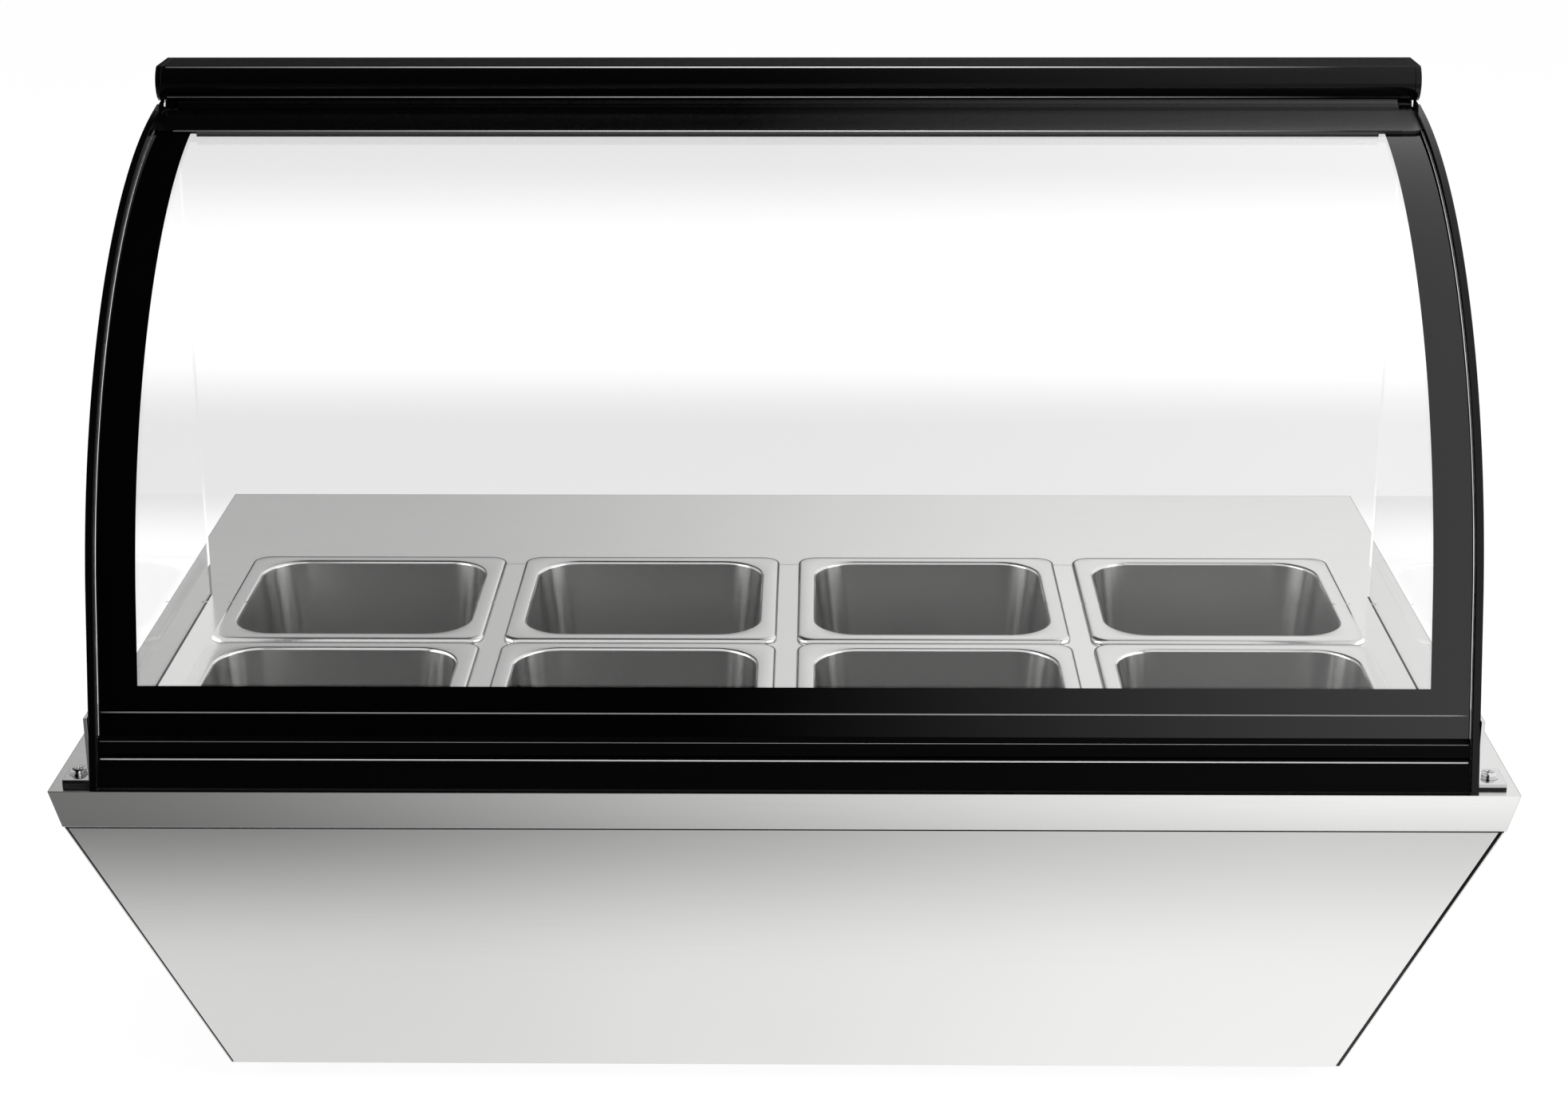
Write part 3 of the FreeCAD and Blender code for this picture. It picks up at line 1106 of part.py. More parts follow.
def build_compressor():
    """The welded can with its mounting feet, on four rubber mounts, and its fittings."""
    foot = "(places.tray_floor + sizes.mount_height)"
    can = new_body("compressor", "places.can_place", "places.bay_middle", foot)
    shell = draw_polygon(new_sketch(can, "XY_Plane"), "0", "0", "sizes.can_radius",
                         CAN_FLATS)
    pad(can, shell, "sizes.can_height")
    top = value("sizes.can_height")
    round_edges(can, "sizes.can_dome", lambda edge: lies_at(edge, "z", top), "Chamfer")
    plate = new_sketch(can, "XY_Plane", "0")
    draw_rectangle(plate, "-sizes.mount_half - sizes.plate_ear",
                   "sizes.mount_half + sizes.plate_ear", "-sizes.can_radius",
                   "sizes.can_radius")
    pad(can, plate, "sizes.plate_thick")
    spot = ("places.can_place - sizes.mount_half",
            "places.bay_middle - sizes.mount_half + sizes.mount_inset")
    mounts = new_body("compressor_mounts", *spot, "places.tray_floor")
    block = draw_polygon(new_sketch(mounts, "XY_Plane"), "0", "0", "sizes.mount_radius",
                         SMALL_FLATS)
    pad(mounts, block, "sizes.mount_height")
    repeat_grid(mounts, "2 * sizes.mount_half", "2 * (sizes.mount_half - sizes.mount_inset)")
    box = new_body("terminal_box", "places.can_place", "places.bay_middle", foot)
    side = draw_rectangle(
        new_sketch(box, "YZ_Plane", "-(sizes.can_radius + sizes.box_thick / 2 + 1)"),
        "-sizes.box_half", "sizes.box_half", "sizes.box_foot",
        "sizes.box_foot + 2 * sizes.box_half")
    pad(box, side, "sizes.box_thick", symmetric=True)
    bottle = new_body("accumulator", "places.can_place + sizes.accumulator_gap",
                      "places.bay_middle", "places.tray_floor")
    stack_rounds(bottle, "XY_Plane", [
        ("sizes.accumulator_radius", "sizes.bottle_foot", "sizes.bottle_body"),
        ("sizes.accumulator_radius / 2", "sizes.bottle_foot + sizes.bottle_body / 2",
         "sizes.accumulator_height - sizes.bottle_foot - sizes.bottle_body / 2")])


def build_condenser():
    """The fin-and-tube block behind the left louvres, its tube ends joined by headers."""
    body = new_body("condenser_coil", "sizes.fan_place", "places.coil_row",
                    "places.tray_floor + sizes.coil_lift")
    core = draw_rectangle(new_sketch(body, "XY_Plane"), "-sizes.coil_width / 2",
                          "sizes.coil_width / 2", "-sizes.fin_depth / 4",
                          "sizes.fin_depth / 4")
    pad(body, core, "sizes.coil_height - sizes.fin_sheet")
    fin = draw_rectangle(new_sketch(body, "XY_Plane"), "-sizes.coil_width / 2",
                         "sizes.fin_sheet - sizes.coil_width / 2", "-sizes.fin_depth / 2",
                         "sizes.fin_depth / 2")
    fins = pad(body, fin, "sizes.coil_height")
    linear(body, [fins], "X_Axis",
           "(sizes.coil_width - sizes.fin_sheet) / (sizes.fin_count - 1)", "sizes.fin_count")
    ends = new_sketch(body, "XZ_Plane")
    stub = "sizes.coil_width / 2 + sizes.coil_tube"
    for low in ("sizes.coil_height / 8", "5 * sizes.coil_height / 8"):
        draw_rectangle(ends, f"-({stub})", stub, low, f"{low} + sizes.coil_height / 4")
    pad(body, ends, "sizes.coil_tube", symmetric=True)


def build_fan():
    """Shroud, motor and the bladed fan that draws air through the condenser."""
    centre = "(places.tray_floor + sizes.coil_lift + sizes.coil_height / 2)"
    frame = new_body("fan_frame", "sizes.fan_place", "places.fan_row", centre)
    half, depth, arm = "(sizes.fan_frame / 2)", "sizes.frame_depth", "sizes.frame_arm"
    plate = new_sketch(frame, "XZ_Plane")
    draw_rectangle(plate, f"-{half}", half, f"-{half}", half)
    draw_polygon(plate, "0", "0", "sizes.fan_radius + sizes.fan_gap", CAN_FLATS)
    pad(frame, plate, depth)
    spider = new_sketch(frame, "XZ_Plane", depth)
    draw_loop(spider, [(f"-{half}", f"-{arm}"), (f"-{arm}", f"-{arm}"), (f"-{arm}", f"-{half}"),
                       (arm, f"-{half}"), (arm, f"-{arm}"), (half, f"-{arm}"), (half, arm),
                       (arm, arm), (arm, half), (f"-{arm}", half), (f"-{arm}", arm),
                       (f"-{half}", arm)])
    pad(frame, spider, arm)
    boss = draw_polygon(new_sketch(frame, "XZ_Plane", depth), "0", "0", "4 * sizes.shaft",
                        SMALL_FLATS)
    pad(frame, boss, arm)
    passage = draw_polygon(new_sketch(frame, "XZ_Plane", f"{depth} + {arm}"), "0", "0",
                           "sizes.shaft + 0.5", SMALL_FLATS)
    pocket(frame, passage, f"2 * {arm}")
    motor = new_body("fan_motor", "sizes.fan_place", "places.fan_row", centre)
    disc = draw_polygon(new_sketch(motor, "XZ_Plane", f"{depth} + {arm}"), "0", "0",
                        "sizes.motor_radius", CAN_FLATS)
    pad(motor, disc, "sizes.motor_length")
    shaft = draw_circle(new_sketch(motor, "XZ_Plane", "sizes.hub_start + 1"), "0", "0",
                        "sizes.shaft")
    pad(motor, shaft, f"{depth} + {arm} - sizes.hub_start")
    fan = new_body("fan_blade", "sizes.fan_place", "places.fan_row", centre)
    hub = draw_polygon(new_sketch(fan, "XZ_Plane", "sizes.hub_start"), "0", "0",
                       "sizes.fan_hub", ROUND_FLATS)
    pad(fan, hub, "sizes.hub_length")
    section = new_sketch(fan, "YZ_Plane", "sizes.fan_hub - 2")
    middle, chord = "(sizes.hub_start + sizes.hub_length / 2)", "sizes.blade_chord"
    thick = "sizes.blade_half_thick"
    corners = []
    for along, across in ((-1, -1), (1, -1), (1, 1), (-1, 1)):
        corners.append((
            f"-{middle} + {along} * {chord} * sin(sizes.blade_pitch) / 2"
            f" + ({across}) * {thick} * cos(sizes.blade_pitch)",
            f"{along} * {chord} * cos(sizes.blade_pitch) / 2"
            f" - ({across}) * {thick} * sin(sizes.blade_pitch)"))
    blade = pad(fan, draw_loop(section, corners), "sizes.fan_radius - sizes.fan_hub + 1")
    polar(fan, [blade], "Y_Axis", "sizes.blade_count")
    bore = draw_circle(new_sketch(fan, "XZ_Plane", "sizes.hub_start + sizes.hub_length"),
                       "0", "0", "sizes.shaft + 0.05")
    pocket(fan, bore, "sizes.hub_length - 1")


def build_drier():
    """The filter drier in the liquid line, lying along the compartment."""
    body = new_body("filter_drier", "0", "places.wall_rear + 2 * sizes.drier_radius",
                    "places.drier_level")
    half, wide = "sizes.drier_half", "sizes.drier_radius"
    stack_rounds(body, "YZ_Plane", [
        (wide, f"-({half} - sizes.drier_neck)", f"2 * ({half} - sizes.drier_neck)"),
        (f"{wide} / 2", f"-{half}", f"2 * {half}")])


def build_tubes():
    """The evaporator under the well, and the copper lines between the pieces."""
    ends, row = "places.coil_end", "places.coil_level"
    near, far = "(places.liner_front + 60)", "(sizes.wall_place + 10)"
    pitch, bend = "(2 * sizes.coil_bend)", "sizes.coil_bend"
    turn_x = f"({ends} - 2 * {bend})"
    lay_tube("evaporator_coil", [
        (f"-{ends}", far, row), (f"-{ends}", near, row), (turn_x, near, row),
        (turn_x, f"{near} + {pitch}", row), (f"-{turn_x}", f"{near} + {pitch}", row),
        (f"-{turn_x}", f"{near} + 2 * {pitch}", row), (ends, f"{near} + 2 * {pitch}", row),
        (ends, far, row)], "sizes.coil_tube / 2", bend)
    tube, curve = "sizes.line_tube / 2", "sizes.line_bend"
    middle, drier = "places.bay_middle", "places.drier_level"
    bottle = "(places.can_place + sizes.accumulator_gap)"
    bottle_top = "(places.tray_floor + sizes.accumulator_height)"
    lay_tube("suction_line", [
        (ends, far, row), (ends, middle, row), (ends, middle, f"{bottle_top} + 22"),
        (bottle, middle, f"{bottle_top} + 22"), (bottle, middle, bottle_top)],
        tube, "sizes.line_bend / 2")
    lay_tube("liquid_line", [
        (f"-{ends}", far, row), (f"-{ends}", "places.wall_rear + 2 * sizes.drier_radius", row),
        (f"-{ends}", "places.wall_rear + 2 * sizes.drier_radius", drier),
        ("-sizes.drier_half", "places.wall_rear + 2 * sizes.drier_radius", drier)],
        "sizes.line_tube / 3", "sizes.line_bend / 2")
    header = "(sizes.fan_place + sizes.coil_width / 2 + sizes.coil_tube)"
    lay_tube("discharge_line", [
        ("places.can_place - sizes.can_radius", middle, "places.discharge_level"),
        (f"{header} + 24", middle, "places.discharge_level"),
        (f"{header} + 24", "places.coil_row", "places.discharge_level"),
        (header, "places.coil_row", "places.discharge_level")], tube, curve)
    beside = "(sizes.drier_half + 26)"
    lay_tube("condenser_outlet", [
        (header, "places.coil_row", drier), (beside, "places.coil_row", drier),
        (beside, "places.wall_rear + 2 * sizes.drier_radius", drier),
        ("sizes.drier_half", "places.wall_rear + 2 * sizes.drier_radius", drier)],
        tube, curve)


# ---------------------------------------------------------------------------
# Controls on the rear panel
# ---------------------------------------------------------------------------

def build_thermostat():
    """The thermostat's case behind the rear panel, its stem, and the knob that turns on it."""
    level = "places.control_level"
    body = new_body("thermostat_body", "sizes.knob_place", "places.hull_rear - sizes.sheet",
                    level)
    case = draw_rectangle(new_sketch(body, "XZ_Plane"), "-sizes.body_half", "sizes.body_half",
                          "-sizes.body_rise", "sizes.body_rise")
    pad(body, case, "sizes.body_depth")
    stem = draw_circle(new_sketch(body, "XZ_Plane", "1"), "0", "0", "sizes.stem_radius")
    pad(body, stem, "sizes.sheet + sizes.stem_reach", reverse=True)
    knob = new_body("thermostat_knob", "sizes.knob_place", "places.hull_rear + sizes.knob_gap",
                    level)
    disc = draw_polygon(new_sketch(knob, "XZ_Plane"), "0", "0", "sizes.knob_radius",
                        CAN_FLATS)
    pad(knob, disc, "sizes.skirt", reverse=True)
    grip = draw_polygon(new_sketch(knob, "XZ_Plane"), "0", "0",
                        "sizes.knob_radius - sizes.skirt", SMALL_FLATS)
    pad(knob, grip, "sizes.knob_height", reverse=True)
    ridge = draw_rectangle(new_sketch(knob, "XZ_Plane"), "-sizes.ridge_half",
                           "sizes.ridge_half", "0", "sizes.knob_radius - sizes.ridge_rise")
    pad(knob, ridge, "sizes.knob_height + sizes.ridge_rise", reverse=True)
    socket = draw_circle(new_sketch(knob, "XZ_Plane"), "0", "0",
                         "sizes.stem_radius + sizes.knob_fit")
    pocket(knob, socket, "sizes.stem_reach + 0.5")


def build_switch():
    """The rocker switch: a snap-in housing, and the rocker on its pin."""
    level = "places.control_level"
    switch = new_body("switch_housing", "sizes.switch_place", "places.hull_rear", level)
    wide, tall, rim = "sizes.switch_width / 2", "sizes.switch_height / 2", "sizes.bezel"
    inner = (f"-({wide} - {rim})", f"{wide} - {rim}", f"-({tall} - 1)", f"{tall} - 1")
    frame = new_sketch(switch, "XZ_Plane")
    draw_rectangle(frame, f"-({wide} + {rim})", f"{wide} + {rim}", f"-({tall} + 1)",
                   f"{tall} + 1")
    draw_rectangle(frame, *inner)
    pad(switch, frame, rim, reverse=True)
    can = new_sketch(switch, "XZ_Plane", "-0.5")
    draw_rectangle(can, f"-({wide} - 0.2)", f"{wide} - 0.2", f"-({tall} - 0.2)", f"{tall} - 0.2")
    pad(switch, can, "sizes.switch_depth")
    well = draw_rectangle(new_sketch(switch, "XZ_Plane", "-1"), *inner)
    pocket(switch, well, "sizes.well_depth + 1", reverse=True)
    pins = draw_circle(new_sketch(switch, "XY_Plane"), "0", "0",
                       "sizes.pin_radius + sizes.knob_fit")
    pocket(switch, pins, f"2 * ({tall} - 0.2)", symmetric=True)
    rocker = new_body("switch_rocker", "sizes.switch_place", "places.hull_rear", level)
    end = f"({wide} - {rim} - sizes.rocker_gap)"
    face = draw_loop(new_sketch(rocker, "XY_Plane"), [
        (f"-{end}", "0.2"), (f"0.4 - {end}", "-sizes.rocker_tilt"),
        ("-sizes.pin_radius - sizes.rocker_gap", "-sizes.rocker_sink"),
        ("sizes.pin_radius + sizes.rocker_gap", "-sizes.rocker_sink"),
        (f"{end} - 0.4", "-sizes.rocker_tilt"), (end, "2 * sizes.rocker_tilt + 0.2"),
        ("0", "0.4")])
    pad(rocker, face, f"2 * ({tall} - 1.4)", symmetric=True)
    pin = draw_circle(new_sketch(rocker, "XY_Plane"), "0", "0",
                      "sizes.pin_radius - sizes.knob_fit")
    pad(rocker, pin, f"2 * ({tall} - 0.4)", symmetric=True)


def build_inlet():
    """The flanged mains inlet with its three flat pins."""
    inlet = new_body("power_inlet", "sizes.inlet_place", "places.hull_rear",
                     "places.control_level")
    wide, tall = "sizes.inlet_width / 2", "sizes.inlet_height / 2"
    ear, wall, plate = "sizes.inlet_ear", "sizes.inlet_wall", "sizes.inlet_plate"
    flange = draw_rectangle(new_sketch(inlet, "XZ_Plane"), f"-({wide} + {ear})",
                            f"{wide} + {ear}", f"-({tall} + {wall})", f"{tall} + {wall}")
    pad(inlet, flange, plate, reverse=True)
    case = draw_rectangle(new_sketch(inlet, "XZ_Plane", "-0.5"), f"-({wide} - 0.3)",
                          f"{wide} - 0.3", f"-({tall} - 0.3)", f"{tall} - 0.3")
    pad(inlet, case, "sizes.inlet_depth")
    mouth = draw_rectangle(new_sketch(inlet, "XZ_Plane", f"-{plate}"), f"-({wide} - {wall})",
                           f"{wide} - {wall}", f"-({tall} - {wall})", f"{tall} - {wall}")
    pocket(inlet, mouth, "sizes.blade_root + 3", reverse=True)
    pins = new_sketch(inlet, "XZ_Plane", "sizes.blade_root")
    for across, up in ((-1, -1), (0, 1), (1, -1)):
        x, z = f"{across} * sizes.blade_pitch_x", f"{up} * sizes.blade_pitch_z"
        draw_rectangle(pins, f"{x} - sizes.blade_half", f"{x} + sizes.blade_half",
                       f"{z} - sizes.blade_tall", f"{z} + sizes.blade_tall")
    pad(inlet, pins, "sizes.blade_reach", reverse=True)


# ---------------------------------------------------------------------------
# The whole cabinet
# ---------------------------------------------------------------------------

def build_cabinet():
    """Builds every sub-part in order, from the casing inwards."""
    build_counter_top()
    build_front_panel()
    build_rear_panel()
    build_base_tray()
    build_feet()
    build_liner()
    build_insulation()
    build_compartment_wall()
    for name, side in (("left", -1), ("right", 1)):
        build_side_panel(f"side_panel_{name}", side)
        build_side_glass(f"side_glass_{name}", side)
        build_side_trim(f"side_trim_{name}", side)
        build_end_cap(f"end_cap_{name}", side)
    for name, column in (("left", -1), ("centre", 0), ("right", 1)):
        build_divider(f"divider_{name}", column)
    for number in range(8):
        build_pan(f"pan_{number + 1}", number % 4 - 1.5, number // 4)
    build_front_pane()
    build_clamp_strip()
    build_strip_gasket()
    build_bottom_profile()
    build_sill_gasket()
    build_top_bar()
    build_bar_clips()
    build_brackets()
    build_compressor()
    build_condenser()
    build_fan()
    build_drier()
    build_tubes()
    build_thermostat()
    build_switch()
    build_inlet()


def check_and_write():
    """Stops on any faulty object, then writes each sub-part as a STEP file."""
    doc.recompute()
    for item in doc.Objects:
        if {"Invalid", "Error"} & set(item.State):
            raise RuntimeError(f"{item.Name} is {item.State}")
    os.makedirs("parts", exist_ok=True)
    for node in nodes:
        if node.Shape.isNull() or not node.Shape.isValid():
            raise RuntimeError(f"{node.Label} has no valid shape")
        node.Shape.exportStep(f"parts/{node.Label}.step")


build_cabinet()
check_and_write()
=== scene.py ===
"""Finishes, fine pieces and studio for a countertop ice cream dipping cabinet."""

import logging
import math
from dataclasses import dataclass
from enum import Enum
from itertools import product
from typing import Iterable, Optional, Sequence, Union

import bmesh
import bpy
from mathutils import Matrix, Vector


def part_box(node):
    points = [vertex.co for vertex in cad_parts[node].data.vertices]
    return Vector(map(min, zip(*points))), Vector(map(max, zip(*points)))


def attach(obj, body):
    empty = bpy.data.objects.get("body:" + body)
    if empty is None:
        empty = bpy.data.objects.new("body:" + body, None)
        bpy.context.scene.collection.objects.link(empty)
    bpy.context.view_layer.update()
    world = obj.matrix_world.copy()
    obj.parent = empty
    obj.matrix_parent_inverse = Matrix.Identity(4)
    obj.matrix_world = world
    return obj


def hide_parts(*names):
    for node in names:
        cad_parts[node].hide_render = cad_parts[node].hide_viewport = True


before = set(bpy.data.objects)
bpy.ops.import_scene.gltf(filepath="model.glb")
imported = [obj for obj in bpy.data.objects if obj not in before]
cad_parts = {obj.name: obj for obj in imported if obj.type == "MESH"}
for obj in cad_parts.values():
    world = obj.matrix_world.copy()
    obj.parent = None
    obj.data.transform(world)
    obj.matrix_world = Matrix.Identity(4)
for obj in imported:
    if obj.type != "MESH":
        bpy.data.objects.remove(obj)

LOG = logging.getLogger("dipping_cabinet")
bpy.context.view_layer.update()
MM = 0.001
NEAR = 1e-6    # metres: places nearer than this are one place

Pair = tuple[float, float]
Triple = tuple[float, float, float]
Colour = tuple[float, float, float, float]
BMesh, Vert, Edge, Face = (bmesh.types.BMesh, bmesh.types.BMVert, bmesh.types.BMEdge,
                           bmesh.types.BMFace)
Tree, Node, Socket = bpy.types.NodeTree, bpy.types.Node, bpy.types.NodeSocket


# ---- Frame and colour ------------------------------------

def deck_origin() -> Vector:
    """The middle of the deck's front edge, on top of the deck, in the row frame."""
    low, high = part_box("counter_top")
    return Vector(((low.x + high.x) / 2, low.y, high.z))


DECK = deck_origin()


def on_deck(x: float, y: float, z: float) -> Vector:
    """A place given in millimetres from the deck's front edge.

    Args:
        x: distance to the right of the middle.
        y: distance back from the deck's front edge.
        z: height above the deck.

    Returns:
        The place in the row frame, in metres.
    """
    return DECK + Vector((x, y, z)) * MM


def linear(code: str) -> Colour:
    """Turns an sRGB hex colour into the linear one that shaders take.

    Args:
        code: six hex digits after a hash.

    Returns:
        Red, green, blue and an alpha of one.
    """
    parts = [int(code[start:start + 2], 16) / 255 for start in (1, 3, 5)]
    red, green, blue = [part / 12.92 if part <= 0.04045 else ((part + 0.055) / 1.055) ** 2.4
                        for part in parts]
    return red, green, blue, 1.0


class Body(Enum):
    """The bodies that new pieces ride on, beside the eight pans."""

    CABINET = "cabinet"
    FRONT_GLASS = "front_glass"


class Slot(Enum):
    """The record's material slots, by name."""

    PAN = "pan_steel"
    POLISHED = "polished_steel"
    RUBBER = "black_rubber"
    BLACK_ALUMINIUM = "black_aluminium"
    BLACK_PLASTIC = "black_plastic"


# ---- Finishes --------------------------------------------

NOISE_SPAN = (0.3, 0.7)    # most of a noise pattern lies between these


def node(tree: Tree, kind: str, inputs: Optional[dict] = None, **settings: object) -> Node:
    """Adds a node with its settings, its socket values and its links.

    Args:
        tree: the node tree it goes in.
        kind: the node's type name.
        inputs: for each input's name or number, its value, or the socket or node that feeds it.
        settings: the node's own properties.

    Returns:
        The node.
    """
    made = tree.nodes.new(kind)
    for name, setting in settings.items():
        setattr(made, name, setting)
    for name, source in (inputs or {}).items():
        if isinstance(source, Node):
            source = next(output for output in source.outputs if output.enabled)
        if isinstance(source, Socket):
            tree.links.new(source, made.inputs[name])
        else:
            made.inputs[name].default_value = source
    return made


def emptied(owner: bpy.types.ID) -> Tree:
    """The node tree of a material or world, with nothing left in it."""
    owner.use_nodes = True
    owner.node_tree.nodes.clear()
    return owner.node_tree


@dataclass(frozen=True)
class Finish:
    """One real material: its colour, gloss and the pattern that its making left on it.

    The marks are the size of the pattern's grain along each axis. They, the relief's depth, the
    shade's size and the edge's radius are in millimetres.
    """

    name: str
    colour: str
    roughness: Pair
    metallic: float = 0.0
    marks: Triple = (1.0, 1.0, 1.0)
    relief: float = 0.05
    relief_depth: float = 0.05
    shade: str = ""
    shade_size: float = 120.0
    edge_round: float = 0.0
    specular: float = 0.5
    sockets: tuple[tuple[str, float], ...] = ()

    def tint(self, tree: Tree, spot: Socket) -> Union[Node, Colour]:
        """The colour, with its slow change across the surface where there is one.

        Args:
            tree: the material's node tree.
            spot: the object coordinates.

        Returns:
            The node that gives the colour, or the plain colour.
        """
        if not self.shade:
            return linear(self.colour)
        cloud = node(tree, "ShaderNodeTexNoise",
                     {"Vector": spot, "Scale": 1000.0 / self.shade_size, "Detail": 2.0})
        return node(tree, "ShaderNodeMix", {"Factor": cloud, "A": linear(self.colour),
                                            "B": linear(self.shade)}, data_type="RGBA")

    def surface(self, tree: Tree, spot: Socket) -> Node:
        """The shader: gloss and relief follow the marks, colour follows the tint.

        Args:
            tree: the material's node tree.
            spot: the object coordinates.

        Returns:
            The shader's node.
        """
        per_metre = tuple(1000.0 / size for size in self.marks)
        scaled = node(tree, "ShaderNodeMapping", {"Vector": spot, "Scale": per_metre})
        height = node(tree, "ShaderNodeTexNoise", {"Vector": scaled, "Scale": 1.0,
                                                   "Detail": 3.0, "Roughness": 0.55})
        gloss = node(tree, "ShaderNodeMapRange",
                     {"Value": height, "From Min": NOISE_SPAN[0], "From Max": NOISE_SPAN[1],
                      "To Min": self.roughness[0], "To Max": self.roughness[1]})
        relief = {"Height": height, "Strength": self.relief, "Distance": self.relief_depth * MM}
        if self.edge_round:
            relief["Normal"] = node(tree, "ShaderNodeBevel", {"Radius": self.edge_round * MM},
                                    samples=4)
        return node(tree, "ShaderNodeBsdfPrincipled",
                    {"Base Color": self.tint(tree, spot), "Metallic": self.metallic,
                     "Roughness": gloss, "Normal": node(tree, "ShaderNodeBump", relief),
                     "Specular IOR Level": self.specular, **dict(self.sockets)})

    def closure(self, tree: Tree, spot: Socket) -> Node:
        """What the rays meet: the shader and nothing else."""
        return self.surface(tree, spot)

    def material(self) -> bpy.types.Material:
        """Makes the material the first time, and finds it again after that.

        Returns:
            The material.
        """
        made = bpy.data.materials.get(self.name)
        if made is None:
            made = bpy.data.materials.new(self.name)
            tree = emptied(made)
            spot = node(tree, "ShaderNodeTexCoord").outputs["Object"]
            node(tree, "ShaderNodeOutputMaterial", {"Surface": self.closure(tree, spot)})
        return made


@dataclass(frozen=True)
class Glazing(Finish):
    """Clear float glass, which lets lamps through to what stands behind it."""

    shadow: str = "#f0f4f2"

    def closure(self, tree: Tree, spot: Socket) -> Node:
        """Glass to the eye, and hardly a tint to the light that falls through.

        Args:
            tree: the material's node tree.
            spot: the object coordinates.

        Returns:
            The node that mixes the two.
        """
        passing = node(tree, "ShaderNodeBsdfTransparent", {"Color": linear(self.shadow)})
        path = node(tree, "ShaderNodeLightPath")
        return node(tree, "ShaderNodeMixShader", {"Fac": path.outputs["Is Shadow Ray"],
                                                  1: self.surface(tree, spot), 2: passing})


@dataclass(frozen=True)
class PaintedLightAcross(Finish):
    """Painted light across a part: the lit colour along the middle, the painted shade outside.

    The left and right spans are where the change starts and ends, in metres from the middle.
    """

    left: Pair = (-0.40, -0.10)
    right: Pair = (0.10, 0.34)
    least: float = 0.12

    def tint(self, tree: Tree, spot: Socket) -> Node:
        """The colour in the middle and the shade towards the ends, by the distance across.

        Args:
            tree: the material's node tree.
            spot: the object coordinates.

        Returns:
            The node that gives the colour.
        """
        across = node(tree, "ShaderNodeSeparateXYZ", {"Vector": spot}).outputs["X"]
        sides = [node(tree, "ShaderNodeMapRange",
                      {"Value": across, "From Min": start, "From Max": end, "To Min": low,
                       "To Max": high})
                 for (start, end), low, high in ((self.left, self.least, 1.0),
                                                 (self.right, 1.0, 0.0))]
        # how much painted light each place gets, by the distance across
        lit_share = node(tree, "ShaderNodeMath", dict(enumerate(sides)), operation="MULTIPLY")
        return node(tree, "ShaderNodeMix", {"Factor": lit_share, "A": linear(self.shade),
                                            "B": linear(self.colour)}, data_type="RGBA")


# Stainless sheet, belt-ground: soft long reflections, drawn out along the counter. The real
# grain is about 0.1 mm wide, and is drawn at 0.6 mm so that it shows.
COUNTER_STEEL = Finish("Brushed_stainless_deck", "#e0e0df", (0.15, 0.21), metallic=1.0,
                       marks=(60.0, 0.6, 0.6), relief=0.02, relief_depth=0.01,
                       shade="#d8d8d7", shade_size=300.0, edge_round=0.7)
# The same sheet on the casing, with a satin film finish that blurs what it mirrors.
PANEL_STEEL = Finish("Satin_stainless_casing", "#dfdfde", (0.20, 0.27), metallic=1.0,
                     marks=(80.0, 0.7, 0.7), relief=0.02, relief_depth=0.01,
                     shade="#d7d7d6", shade_size=260.0, edge_round=0.5)
# Mill-finished tray under the cabinet: duller, with short random scuffs.
TRAY_STEEL = Finish("Mill_finish_tray", "#a9abad", (0.35, 0.5), metallic=1.0,
                    marks=(8.0, 8.0, 8.0), relief=0.08, shade="#989a9c", shade_size=80.0)
# Deep-drawn food pan: satin inside, bright streaks where the corners curve.
PAN_STEEL = Finish("Drawn_stainless_pan", "#d9d9d8", (0.14, 0.20), metallic=1.0,
                   marks=(0.8, 0.8, 9.0), relief=0.02, relief_depth=0.01,
                   shade="#d2d2d1", shade_size=40.0)
# The pan's drawn inside: a darker copy of the pan steel, painted shade inside the pan, duller in
# gloss.
PAN_INSIDE_SHADED = Finish("Drawn_stainless_painted_shade", "#aeaead", (0.19, 0.27), metallic=1.0,
                    marks=(0.8, 0.8, 9.0), relief=0.02, relief_depth=0.01,
                    shade="#a4a4a3", shade_size=40.0)
# Polished steel: bracket feet and screws, with crisp reflections.
POLISHED_STEEL = Finish("Polished_stainless", "#d2d2d2", (0.08, 0.16), metallic=1.0,
                        marks=(3.0, 3.0, 3.0), relief=0.03, edge_round=0.3)
# The well's pressed liner: satin, with faint upright lines from the press.
LINER_STEEL = Finish("Satin_stainless_liner", "#b0b2b4", (0.3, 0.42), metallic=1.0,
                     marks=(1.0, 1.0, 30.0), relief=0.05, shade="#a2a4a6", shade_size=60.0)
# Extruded aluminium with a gloss black stove enamel: a deep, dark mirror.
BLACK_ALUMINIUM = Finish("Gloss_black_enamelled_aluminium", "#050505", (0.07, 0.12),
                         marks=(2.5, 2.5, 2.5), relief=0.01, relief_depth=0.01,
                         edge_round=0.5, specular=0.2)
# The strip's thinner coat of the same enamel, softer in its reflections, with a painted reflection
# that greys it towards its right end.
STRIP_ENAMEL = PaintedLightAcross("Semi_gloss_enamel_painted_reflection", "#3c3c3c", (0.26, 0.34),
                        marks=(3.0, 3.0, 3.0), relief=0.01, relief_depth=0.01,
                        edge_round=0.5, shade="#020202", left=(-0.03, 0.38),
                        right=(1.0, 2.0), least=0.0, specular=0.3)
# The foot's extrusion, anodised matt black: it swallows what light reaches it.
MATT_ALUMINIUM = Finish("Matt_black_anodised_aluminium", "#030303", (0.3, 0.4),
                        marks=(20.0, 0.5, 0.5), relief=0.02, relief_depth=0.01, specular=0.05)
